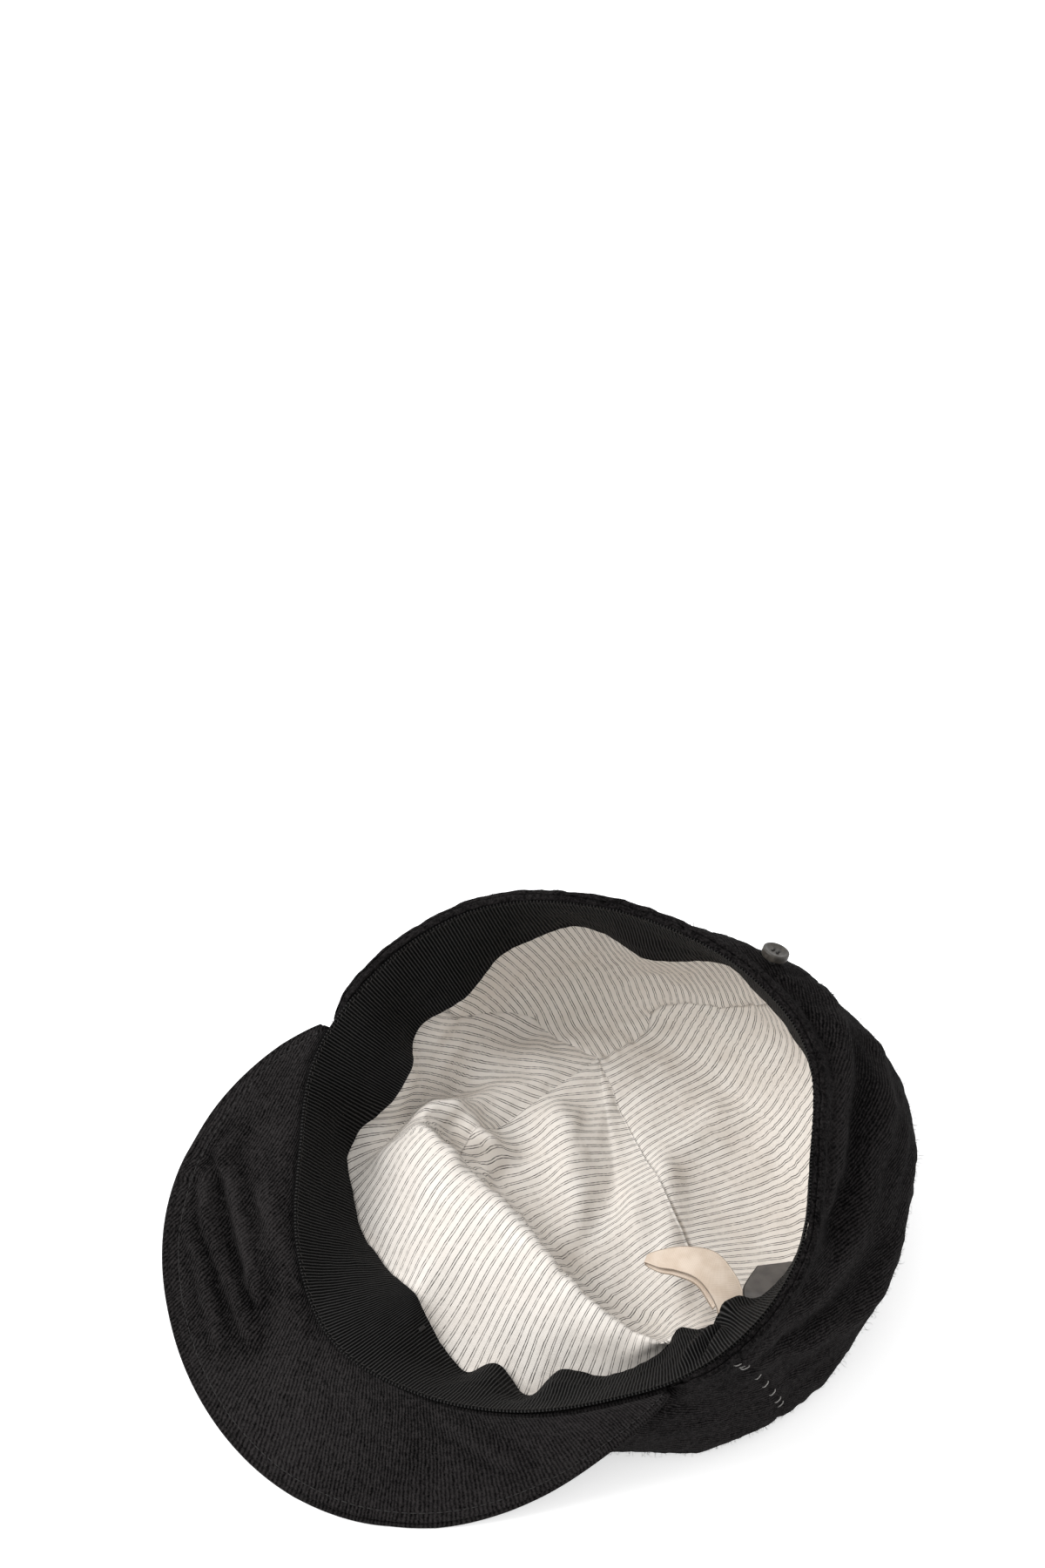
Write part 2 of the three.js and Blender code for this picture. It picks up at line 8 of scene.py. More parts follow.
import bpy
import numpy as np
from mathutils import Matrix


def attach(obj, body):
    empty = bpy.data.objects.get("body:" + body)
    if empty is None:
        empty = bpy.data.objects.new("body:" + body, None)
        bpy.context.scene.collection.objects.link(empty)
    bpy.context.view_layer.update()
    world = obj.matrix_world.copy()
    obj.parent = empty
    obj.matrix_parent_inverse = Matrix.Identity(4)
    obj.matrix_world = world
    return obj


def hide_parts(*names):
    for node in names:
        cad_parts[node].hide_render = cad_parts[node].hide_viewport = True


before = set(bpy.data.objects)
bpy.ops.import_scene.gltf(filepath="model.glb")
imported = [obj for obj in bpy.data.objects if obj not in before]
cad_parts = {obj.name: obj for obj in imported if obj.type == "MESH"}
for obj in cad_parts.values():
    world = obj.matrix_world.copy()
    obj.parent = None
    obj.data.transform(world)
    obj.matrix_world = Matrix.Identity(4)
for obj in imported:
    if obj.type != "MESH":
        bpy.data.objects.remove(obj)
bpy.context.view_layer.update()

scene = bpy.context.scene
scene.view_settings.view_transform = "Standard"

# ---------------------------------------------------------------- camera
# It looks down into the upturned cap over the peak's right half, with a long lens.

camera = bpy.data.objects.new("camera", bpy.data.cameras.new("camera"))
camera.data.lens = 77.0
camera.location = (0.4834, -0.3699, 1.0526)
camera.rotation_euler = (math.radians(38), 0, math.radians(53))
scene.collection.objects.link(camera)
scene.camera = camera

# ---------------------------------------------------------------- floor and lights
# A white floor that runs out of sight, one big soft lamp high over the peak's left end, and even
# white light from all round.


class Socket:
    """A node's output: sums on it add Math nodes, and node() adds any other node to its tree."""

    def __init__(self, tree, output=None):
        self.tree, self.output = tree, output

    def node(self, kind, settings=None, sockets=None, out=0):
        made = self.tree.nodes.new("ShaderNode" + kind)
        for name, value in (settings or {}).items():
            setattr(made, name, value)
        for name, value in (sockets or {}).items():
            if isinstance(value, Socket):
                self.tree.links.new(value.output, made.inputs[name])
            else:
                made.inputs[name].default_value = value
        return Socket(self.tree, made.outputs[out] if made.outputs else None)

    def other(self, name):
        return Socket(self.tree, self.output.node.outputs[name])

    def math(self, operation, first, second=0.0):
        return self.node("Math", {"operation": operation}, {0: first, 1: second})

    def __add__(self, other):
        return self.math("ADD", self, other)

    def __radd__(self, other):
        return self.math("ADD", other, self)

    def __sub__(self, other):
        return self.math("SUBTRACT", self, other)

    def __rsub__(self, other):
        return self.math("SUBTRACT", other, self)

    def __mul__(self, other):
        return self.math("MULTIPLY", self, other)

    def __rmul__(self, other):
        return self.math("MULTIPLY", other, self)

    def __abs__(self):
        return self.math("ABSOLUTE", self)

    def fraction(self):
        return self.math("FRACT", self)

    def wave(self, pitch):
        """A sine wave from -1 to 1 along a length, once in every pitch."""
        return self.math("SINE", self * (2 * math.pi / pitch))

    def between(self, low, high):
        """0 below low, 1 above high and smooth between; falls instead where low is above high."""
        return self.node("MapRange", {"interpolation_type": "SMOOTHSTEP"},
                         {"Value": self, "From Min": low, "From Max": high})

    def mix(self, factor, first, second):
        return self.node("Mix", {"data_type": "RGBA"}, {0: factor, 6: first, 7: second}, out=2)

    def noise(self, size, detail=2.0, where=None):
        """Soft random patches about size metres across, from 0 to 1."""
        where = where or self.node("TexCoord").other("Object")
        return self.node("TexNoise", None, {"Vector": where, "Scale": 1 / size, "Detail": detail})

    def kept(self, name):
        """A value that the mesh keeps at each of its points."""
        return self.node("Attribute", {"attribute_name": name}).other("Fac")

    def on_cut_cloth(self):
        """A point's two places on the cut cloth, in metres."""
        first = self.node("SeparateXYZ", None, {0: self.node("UVMap", {"uv_map": "cut"})})
        return first, first.other("Y")

    def bump(self, strength, distance):
        """The normal of a surface that this height raises, by a distance in metres where it is 1."""
        return self.node("Bump", None, {"Strength": strength, "Distance": distance, "Height": self})


def material(name):
    made = bpy.data.materials.new(name)
    made.use_nodes = True
    made.node_tree.nodes.clear()
    return made, Socket(made.node_tree)


def shade(paint, sockets):
    shader = paint.node("BsdfPrincipled", None, sockets)
    paint.node("OutputMaterial", None, {"Surface": shader})


floor_white, paint = material("floor_white")
shade(paint, {"Base Color": (0.93, 0.93, 0.93, 1), "Roughness": 0.9, "Specular IOR Level": 0.1,
              "Emission Color": (1, 1, 1, 1), "Emission Strength": 0.5})
floor_mesh = bpy.data.meshes.new("floor")
floor_mesh.from_pydata([(-8, -8, 0), (8, -8, 0), (8, 8, 0), (-8, 8, 0)], [], [(0, 1, 2, 3)])
floor_mesh.materials.append(floor_white)
floor = bpy.data.objects.new("floor", floor_mesh)
scene.collection.objects.link(floor)

scene.world = bpy.data.worlds.new("studio")
scene.world.use_nodes = True
sky = scene.world.node_tree.nodes["Background"]
sky.inputs["Color"].default_value = (1, 1, 1, 1)
sky.inputs["Strength"].default_value = 0.82


def lamp(name, place, aim, size, power):
    """A square soft lamp at a place, turned to its aim."""
    light = bpy.data.lights.new(name, "AREA")
    light.shape, light.size, light.energy = "SQUARE", size, power
    made = bpy.data.objects.new(name, light)
    made.location = place
    away = np.subtract(place, aim)
    made.rotation_euler = (math.atan2(math.hypot(away[0], away[1]), away[2]), 0,
                           math.atan2(away[0], -away[1]))
    scene.collection.objects.link(made)


lamp("key_lamp", (-0.72, -0.78, 1.25), (0, 0, 0.05), 0.9, 18.5)

# ---------------------------------------------------------------- crown
# Four panels of soft black wool twill, sewn together from the opening to one point underneath. The
# cloth is turned in as a thick hem round the opening, and stops short behind the peak.

MM = 0.001
WOOL = 2.0  # thickness of the cloth
HEM = 4.0  # thickness where it is turned over on itself
HEM_CLEAR = 0.06  # between the hem and the sweatband
HEM_OVERHANG = 1.3  # how far the hem's fold leans in over the sweatband
RIBBON = 1.0  # thickness left for the sweatband, a little more than its own
RIBBON_SHOWN = 0.8
RIBBON_WIDTH = 35.0
PEAK_CLOTH = 1.5
SEAM_GAP = 0.3

OPENING_X = 5  # the opening's centre
OPENING_HEIGHT = 73.95  # of its plane above the frame's origin
OPENING_RISE, OPENING_FALL = 0.35, 0.05  # the plane's slopes, up to the back and down to the right

SECTION_STEP = 22.5  # degrees between the rows of a table of sections
CROWN_SECTIONS = np.array([
    # rim, lean, waist, waist drop, bulge, bulge height, foot
    [94.0, 50, 95, 20, 95, 18, 90],
    [95.5, 77, 101, 22, 108, 24, 102],
    [90.0, 90, 101, 18, 123, 42, 107],
    [92.0, 101, 106, 15, 133, 48, 117],
    [88.0, 109, 103, 14, 128, 48, 114],
    [85.5, 109, 99, 22, 120, 42, 108],
    [88.0, 107, 100, 24, 115, 40, 104],
    [93.5, 93, 100, 22, 112, 38, 102],
    [94.0, 67, 99, 20, 109.5, 36, 98],
    [91.0, 50, 95, 20, 102, 30, 92],
    [85.0, 66, 88, 22, 95, 20, 84],
    [86.5, 45, 88, 20, 92, 16, 82],
    [89.0, 15, 89, 18, 90, 14, 80],
    [86.0, 38, 86, 20, 85, 16, 76],
    [85.0, 46, 81, 20, 80, 18, 70],
    [87.0, 51, 82, 20, 83, 20, 75],
])
RIM, LEAN, WAIST, WAIST_DROP, BULGE, BULGE_HEIGHT, FOOT = range(7)  # the columns
CROWN_APEX = np.array([7, 46, WOOL / 2])
APEX_RADIUS = 0.25  # the panels end in a tiny ring round the apex
CROWN_SEAMS = {  # heading at the opening and lower down, and the shares of the way it wanders between
    "right": (3.5, 15, 0.25, 0.62), "back": (88, 88, 0.24, 0.6), "left": (180, 180, 0.24, 0.6),
    "front": (272, 272, 0.24, 0.6)}

# Where the sweatband's free edge waves: the crests and hollows, as degrees added to its lean.
RIBBON_WAVES = [(0, 2), (4, 6), (9, -6), (15, -1), (22, -1), (32, 2), (45, 3), (60, 1), (90, 3),
                (103, 9), (123, -7), (141, 7), (154, 2), (169, -7), (184, 9), (195, -4), (204, -2),
                (213, 10), (232, -3), (252, -6), (276, 0), (294, 5), (304, -6), (313, 8), (323, -7),
                (335, 1), (345, 1), (355, -5), (360, 2)]


def smooth(low, high, x):
    t = np.clip((np.asarray(x, float) - low) / (high - low), 0, 1)
    return t * t * (3 - 2 * t)


def unit(v):
    return v / np.linalg.norm(v, axis=-1, keepdims=True)


def spread(values):
    """Values for a grid's points, made ready to multiply vectors."""
    return np.asarray(values, float)[..., None]


def past_ends(stops):
    """The same stops, with one more in line before the first and one after the last."""
    return np.concatenate([[2 * stops[0] - stops[1]], stops, [2 * stops[-1] - stops[-2]]])


def eased(a, b, c, d, t):
    """A smooth run from b to c as t goes from 0 to 1, aimed by the values on either side of them."""
    return 0.5 * (2 * b + (c - a) * t + (2 * a - 5 * b + 4 * c - d) * t**2
                  + (3 * b - a - 3 * c + d) * t**3)


def around(values, heading):
    """A smooth closed run through one value or point for each section."""
    values = np.asarray(values, float)
    place = np.asarray(heading, float) / SECTION_STEP % len(values)
    i = np.floor(place).astype(int)
    t = spread(place - i) if values.ndim > 1 else place - i
    return eased(*(values[(i + k) % len(values)] for k in (-1, 0, 1, 2)), t)


def along(values, t):
    """A smooth open run through values spread evenly from 0 to 1."""
    v = past_ends(np.asarray(values, float))
    place = np.clip(t, 0, 1) * (len(v) - 3)
    i = np.clip(np.floor(place).astype(int), 0, len(v) - 4)
    return eased(v[i], v[i + 1], v[i + 2], v[i + 3], place - i)


def through(stops, t):
    """A smooth open run through stops, each a grid of points, that doesn't overshoot at short spans."""
    stops = past_ends(np.stack(np.broadcast_arrays(*stops)))
    shape = stops.shape[1:-1]
    place = np.clip(t, 0, 1) * (len(stops) - 3)
    i = np.clip(np.floor(place).astype(int), 0, len(stops) - 4)
    t = spread(np.broadcast_to(place - i, shape))
    pick = [np.take_along_axis(stops, np.broadcast_to(i + k, shape)[None, ..., None], 0)[0]
            for k in range(4)]
    a, b, c, d = pick
    ab, bc, cd = (np.sqrt(np.linalg.norm(q - p, axis=-1, keepdims=True)) for p, q in zip(pick, pick[1:]))
    start = ((b - a) / ab - (c - a) / (ab + bc) + (c - b) / bc) * bc
    end = ((c - b) / bc - (d - b) / (bc + cd) + (d - c) / cd) * bc
    return b + start * t + (3 * (c - b) - 2 * start - end) * t**2 + (2 * (b - c) + start + end) * t**3


def outward(heading):
    a = np.radians(heading)
    return np.stack([np.cos(a), np.sin(a), np.zeros_like(a)], -1)


def below_opening(heading, radius, drop):
    """A point at a radius round the opening's centre, a drop below its sloping plane."""
    p = outward(heading) * spread(radius) + [OPENING_X, 0, 0]
    p[..., 2] = OPENING_HEIGHT + OPENING_RISE * p[..., 1] - OPENING_FALL * p[..., 0] - drop
    return p


def section(column, heading):
    """One column of the crown's table, at any heading."""
    return around(CROWN_SECTIONS[:, column], heading)


def rim_frame(heading):
    """The rim's point, and the ways out from it and down from it, square to the rim."""
    heading = np.asarray(heading, float)
    before, at, after = (below_opening(h, section(RIM, h), 0)
                         for h in (heading - 0.5, heading, heading + 0.5))
    run = unit(after - before)
    out = outward(heading)
    out = unit(out - run * (out * run).sum(-1, keepdims=True))
    down = unit(np.cross(out, run))
    return at, out, down * -np.sign(down[..., 2:])


def off_rim(rim, sideways, downward):
    """A point that far out from the rim and down from it, rim being what rim_frame gives."""
    at, out, down = rim
    return at + out * spread(sideways) + down * spread(downward)


def ribbon_wave(heading):
    """How many degrees the sweatband's free edge waves away from its lean."""
    places, leans = np.array(RIBBON_WAVES, float).T
    turn = np.asarray(heading, float) % 360
    i = np.clip(np.searchsorted(places, turn, side="right") - 1, 0, len(places) - 2)
    share = smooth(0, 1, (turn - places[i]) / (places[i + 1] - places[i]))
    return leans[i] + (leans[i + 1] - leans[i]) * share


def sweat_point(heading, distance, behind):
    """A point a distance down the sweatband and a distance out behind it."""
    lean = np.radians(section(LEAN, heading) + ribbon_wave(heading) * smooth(2, 22, distance))
    sideways = behind * np.sin(lean) - distance * np.cos(lean)
    downward = behind * np.cos(lean) + distance * np.sin(lean)
    return off_rim(rim_frame(heading), sideways, downward)


PEAK_FROM, PEAK_TO = 197.0, 348.0  # the headings of its two ends
PEAK_SLOPES = [30, 17, 20, 32, 46, 57, 72, 84, 88]  # degrees down from flat, left end to right end


def peak_share(heading):
    return (np.asarray(heading, float) % 360 - PEAK_FROM) / (PEAK_TO - PEAK_FROM)


def peak_slope(heading):
    return along(PEAK_SLOPES, peak_share(heading))


def under_peak(heading):
    """1 behind the peak and 0 round the rest of the opening."""
    turn = np.asarray(heading, float) % 360
    return smooth(PEAK_FROM - 10, PEAK_FROM + 3, turn) * (1 - smooth(PEAK_TO, PEAK_TO + 8, turn))


def ribbon_top(heading):
    """How far down from the rim the sweatband starts: it stands up over the peak's edge."""
    return -0.4 - 1.1 * under_peak(heading)


HEM_END = 0.24  # the share of the way from the hem's fold to the apex where the hem ends
HEM_ROOM = PEAK_CLOTH + 2.5 * SEAM_GAP + 1 + WOOL / 2  # from its middle to the sweatband and to the peak
HEM_RINGS = np.array([
    # below the opening, share of the way out to the waist, thickness
    [-1.8, 0, HEM * 0.55],
    [-0.4, 0, HEM],
    [3.2, 0.15, HEM],
    [5.4, 0.35, WOOL],
])
BELOW, FLARE, THICKNESS = range(3)  # the columns
HEM_TOP, HEM_SHOULDER = HEM_RINGS[:2, BELOW]


def hem_value(column, t):
    """One column of the hem's table, from t = 0 at its fold to t = HEM_END where it ends."""
    rings = range(len(HEM_RINGS))
    return np.interp(np.clip(t / HEM_END, 0, 1) * rings[-1], rings, HEM_RINGS[:, column])


def hem_ring(heading, below, flare):
    """The hem's middle: just outside the sweatband, or in the wedge between it and the peak."""
    rim = rim_frame(heading)
    lean, slope = section(LEAN, heading), peak_slope(heading)
    seat = (RIBBON_SHOWN + HEM) / 2 + HEM_CLEAR
    swell = section(WAIST, heading) - section(RIM, heading) - seat
    follows = -below * np.cos(np.radians(lean))
    reach = seat + np.where(below > 0, np.maximum(np.maximum(flare * swell, follows), 0), follows)
    free = off_rim(rim, reach - HEM_OVERHANG * smooth(HEM_SHOULDER, HEM_TOP, below), below)
    distance = HEM_ROOM / np.sin(np.radians(180 - lean - slope) / 2) + (below - HEM_TOP) * 0.5
    middle = np.radians(180 - lean + slope) / 2
    tucked = off_rim(rim, distance * np.cos(middle), distance * np.sin(middle))
    return free + (tucked - free) * spread(under_peak(heading))


def crown_middle(heading, t):
    """The middle of the crown cloth: t runs from the hem's fold down round the bulge to the apex."""
    heading, t = np.broadcast_arrays(np.asarray(heading, float), np.asarray(t, float))
    turned = hem_ring(heading, hem_value(BELOW, t), hem_value(FLARE, t))
    last = hem_ring(heading, HEM_RINGS[-1, BELOW], HEM_RINGS[-1, FLARE])
    waist = below_opening(heading, section(WAIST, heading), section(WAIST_DROP, heading))
    bulge = below_opening(heading, section(BULGE, heading), 0)
    bulge[..., 2] = section(BULGE_HEIGHT, heading)
    foot = below_opening(heading, section(FOOT, heading), 0)
    foot[..., 2] = WOOL / 2
    apex = CROWN_APEX + outward(heading) * APEX_RADIUS
    run = (t - HEM_END) / (1 - HEM_END)
    rest = through([last, waist, bulge, foot, (foot + CROWN_APEX) / 2, apex], run)
    return np.where(spread(t) < HEM_END, turned, rest)


def facing(grid, closed=False):
    """The normals of a grid of points. A closed grid's last column joins its first."""
    padded = np.concatenate([grid[:, -2:-1], grid, grid[:, 1:2]], 1) if closed else grid
    across = np.gradient(padded, axis=1)
    across = across[:, 1:-1] if closed else across
    return unit(np.cross(across, np.gradient(grid, axis=0)))


def ripple(points, size, seed):
    """Soft random ripples about size mm across, mostly between -1 and 1."""
    chance = np.random.default_rng(seed)
    waves = unit(chance.normal(size=(14, 3))) * (2 * np.pi / size) * chance.uniform(0.6, 1.5, (14, 1))
    return np.sin(points @ waves.T + chance.uniform(0, 2 * np.pi, 14)).sum(-1) / 3.5


def fold(points, path, height, width):
    """How far a soft fold lifts points: its height along the path, fading out over its width."""
    near = np.full(points.shape[:-1], np.inf)
    path = np.array(path, float)
    for a, b in zip(path, path[1:]):
        share = np.clip((points - a) @ (b - a) / ((b - a) @ (b - a)), 0, 1)
        near = np.minimum(near, np.linalg.norm(points - a - share[..., None] * (b - a), axis=-1))
    return height * np.exp(-(near / width) ** 2)


def measured(grid, axis):
    """Each point's distance along its row (axis 1) or column (axis 0)."""
    step = np.linalg.norm(np.diff(grid, axis=axis), axis=-1)
    return np.concatenate([np.zeros_like(step.take([0], axis)), step.cumsum(axis)], axis)


def solid(name, points, faces, finish, cut=None):
    """A smooth piece riding on the cap, from points in mm, faces in blocks, and places on the cut cloth."""
    corners = [points[block] for block in faces]
    volume = sum((c[:, 0] * np.cross(c[:, k], c[:, k + 1])).sum()
                 for c in corners for k in range(1, c.shape[1] - 1))
    turned = [block[:, ::-1] if volume < 0 else block for block in faces]
    mesh = bpy.data.meshes.new(name)
    mesh.from_pydata((points * MM).tolist(), [], [f for block in turned for f in block.tolist()])
    if cut is not None:
        corner = np.zeros(len(mesh.loops), np.int32)
        mesh.loops.foreach_get("vertex_index", corner)
        mesh.uv_layers.new(name="cut").data.foreach_set("uv", (cut[corner] * MM).astype(np.float32).ravel())
    mesh.materials.append(finish)
    mesh.shade_smooth()
    piece = bpy.data.objects.new(name, mesh)
    scene.collection.objects.link(piece)
    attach(piece, "root")
    return piece


def four_corners(ids):
    """The faces of a grid of points, from the grid of their numbers."""
    return np.stack([ids[:-1, :-1], ids[1:, :-1], ids[1:, 1:], ids[:-1, 1:]], -1).reshape(-1, 4)


def cloth(name, middle, thickness, finish, cut, closed=False, point_values=None):
    """A closed sheet over a grid of middle points, with rounded edges. A closed grid goes all round.

    cut is each point's place on the cut cloth, and point_values has values for the mesh to keep, such as
    painted light and shade.
    """
    rows, columns = middle.shape[:2]
    half = spread(np.broadcast_to(thickness, (rows, columns))) / 2
    out = facing(middle, closed)
    if closed:
        middle, half, out, columns = middle[:, :-1], half[:, :-1], out[:, :-1], columns - 1
    ids = np.arange(rows * columns).reshape(rows, columns)
    wrap = np.concatenate([ids, ids[:, :1]], 1) if closed else ids
    loops = [wrap[0], wrap[-1, ::-1]] if closed else [
        np.concatenate([ids[0], ids[1:, -1], ids[-1, -2::-1], ids[-2:0:-1, 0], ids[0, :1]])]
    middle, out, half = middle.reshape(-1, 3), out.reshape(-1, 3), half.reshape(-1, 1)
    back = len(middle)
    top = 2 * back
    points = [middle + out * half, middle - out * half]
    faces = [four_corners(wrap), four_corners(wrap)[:, ::-1] + back]
    for loop in loops:
        a, b = loop[:-1], loop[1:]
        run = unit(np.roll(middle[a], -1, 0) - np.roll(middle[a], 1, 0))
        away = unit(np.cross(run, out[a]))
        points.append(middle[a] + away * half[a] * 0.8)
        edge = np.arange(len(a) + 1) % len(a) + top
        top += len(a)
        faces.append(np.stack([b, a, edge[:-1], edge[1:]], -1))
        faces.append(np.stack([edge[1:], edge[:-1], a + back, b + back], -1))
    source = np.concatenate([ids.ravel(), ids.ravel()] + [loop[:-1] for loop in loops])
    piece = solid(name, np.concatenate(points), faces, finish, cut.reshape(-1, 2)[source])
    for kind, grid in (point_values or {}).items():
        values = np.broadcast_to(grid, (rows, columns)).ravel()[source]
        kept = piece.data.attributes.new(kind, "FLOAT", "POINT")
        kept.data.foreach_set("value", values.astype(np.float32))
    return piece


def painted_fold_shading(middle, folds):
    """Painted light and shade for folds: a painted highlight along them, above 0, and painted shade beside
    them, below 0.
    """
    return sum(fold(middle, path, height, width * 1.1) - 0.8 * fold(middle, path, height, width * 2.2)
               for path, height, width in folds)


PATTERN = 31  # points along each side of the coarse grid that a panel is laid flat by
SEAM_ROWS = 20, 28  # the rows of it that give a seam's direction


def area(points, quads):
    a, b, c, d = (points[quads[:, k]] for k in range(4))
    return 0.5 * np.linalg.norm(np.cross(c - a, d - b), axis=-1).sum()


def refined(grid, places, count, axis):
    """A grid's values filled in along one axis, from the places where they stand to all count of them."""
    return np.apply_along_axis(lambda line: np.interp(np.arange(count), places, line), axis, grid)


def flat_cut(grid, seam, turn):
    """Lays a curved panel flat: each point's place on the cut cloth in mm.

    The cloth's +X is turned by some degrees from the way down a seam, the first or last column.
    """
    rows, columns = (np.linspace(0, n - 1, PATTERN).round().astype(int) for n in grid.shape[:2])
    coarse = grid[np.ix_(rows, columns)].reshape(-1, 3)
    quads = four_corners(np.arange(PATTERN**2).reshape(PATTERN, PATTERN))
    mesh = bpy.data.meshes.new("pattern")
    mesh.from_pydata(coarse.tolist(), [], quads.tolist())
    mesh.uv_layers.new(name="cut")
    piece = bpy.data.objects.new("pattern", mesh)
    scene.collection.objects.link(piece)
    bpy.context.view_layer.objects.active = piece
    bpy.ops.object.mode_set(mode="EDIT")
    bpy.ops.mesh.select_all(action="SELECT")
    bpy.ops.uv.unwrap(method="MINIMUM_STRETCH", margin=0)
    bpy.ops.object.mode_set(mode="OBJECT")
    laid, corner = np.zeros(len(mesh.loops) * 2, np.float32), np.zeros(len(mesh.loops), np.int32)
    mesh.uv_layers[0].data.foreach_get("uv", laid)
    mesh.loops.foreach_get("vertex_index", corner)
    flat = np.zeros((PATTERN**2, 2))
    flat[corner] = laid.reshape(-1, 2)
    bpy.data.objects.remove(piece)
    flat *= math.sqrt(area(coarse, quads) / area(np.pad(flat, ((0, 0), (0, 1))), quads))
    flat = flat.reshape(PATTERN, PATTERN, 2)
    high, low = SEAM_ROWS
    run = flat[low, seam] - flat[high, seam]
    a = math.atan2(run[1], run[0]) + math.radians(turn)
    flat = flat @ np.array([[math.cos(a), -math.sin(a)], [math.sin(a), math.cos(a)]])
    return refined(refined(flat, columns, grid.shape[1], 1), rows, grid.shape[0], 0)


TWILL_PITCH = 0.00115  # metres from one ridge of the twill to the next

black_wool, paint = material("black_wool")
across, lengthways = paint.on_cut_cloth()
slub = paint.noise(0.004, 3)
# The twill feeds the colour as well as the bump: painted shade in its grooves and painted highlight on its
# ridges.
twill = (across * 0.6 + lengthways * 0.8 + slub * 0.0011).wave(TWILL_PITCH)
twill = twill * (1 - paint.kept("pressed"))
nap = paint.noise(0.0006, 4)
tufts = paint.noise(0.0017, 3)
patches = paint.noise(0.03, 3)
# The value that the mesh keeps is painted light and shade: paler fold crests, painted shade beside folds and
# the sweatband, a darker crown and a lighter peak.
light = twill * 0.28 + nap * 1.6 + tufts * 0.9 + patches * 0.35 + paint.kept("painted_shading")
tone = paint.mix(light.between(0.85, 2.15), (0.001, 0.0009, 0.001, 1), (0.032, 0.0291, 0.0292, 1))
shade(paint, {"Base Color": tone, "Roughness": 0.95,
              "Normal": (twill * 0.12 + nap * 1.2 + tufts).bump(0.9, 0.0005),
              "Specular IOR Level": 0.02, "Sheen Weight": 0.01, "Sheen Roughness": 0.4,
              "Sheen Tint": (0.9, 0.88, 0.88, 1)})

CROWN_FOLDS = [
    # points along the fold, how far it stands out, how wide it is
    ([(20, 112, 88), (30, 107, 90), (54, 87, 93), (70, 76, 88), (80, 60, 82)], 2.6, 7),
    ([(40, 108, 86), (62, 90, 84), (76, 76, 80), (86, 60, 76)], -2.2, 6),
    ([(40, 118, 70), (55, 110, 72), (68, 97, 72), (75, 86, 72), (88, 70, 64), (95, 52, 62), (101, 33, 62),
      (103, 20, 66), (103, 10, 63)], 2.6, 6.5),
    ([(70, 108, 52), (90, 84, 50), (99, 62, 50), (102, 44, 54), (103, 26, 56)], -2.0, 6),
    ([(98, 70, 36), (102, 57, 37), (103, 39, 45), (103, 27, 51), (104, 16, 50)], 2.2, 6),
    ([(60, -70, 20), (75, -50, 24), (90, -25, 30)], 1.6, 7),
    ([(-70, 95, 40), (-40, 112, 56), (-10, 122, 60)], 1.8, 9),
    ([(-98, 60, 30), (-92, 78, 48), (-76, 96, 60)], 2.0, 9),
    ([(-62, 76, 82), (-70, 68, 76), (-77, 60, 68)], 2.2, 9),
    ([(-106, 10, 44), (-104, 40, 46), (-96, 62, 50)], 1.6, 10),
]


def seam_heading(seam, t):
    """A seam's heading for each row: it wanders from its place at the opening to its place lower down."""
    at_opening, lower_down, leaves, arrives = seam
    return at_opening + (lower_down - at_opening) * smooth(leaves, arrives, t)


def between_seams(seams, first, last, t, columns):
    """The headings of a panel's points, row by row, from its first seam round to its last."""
    a, b = seam_heading(seams[first], t), seam_heading(seams[last], t)
    if last == "right":
        b = b + 360
    return a + (b - a) * np.linspace(0, 1, columns)


def sewn_edges(grid, apex, depth, width, pucker, pitch):
    """How far a panel dips towards its two seams, and puckers beside them."""
    across = measured(grid, 1)
    away = np.minimum(across, across[:, -1:] - across)
    run = np.linalg.norm(grid - apex, axis=-1)
    beat = np.sin(2 * np.pi * run / pitch + np.sin(run / 17.0) * 2)
    return -depth * np.exp(-(away / width) ** 2) + pucker * beat * np.exp(-away / (2.2 * width))


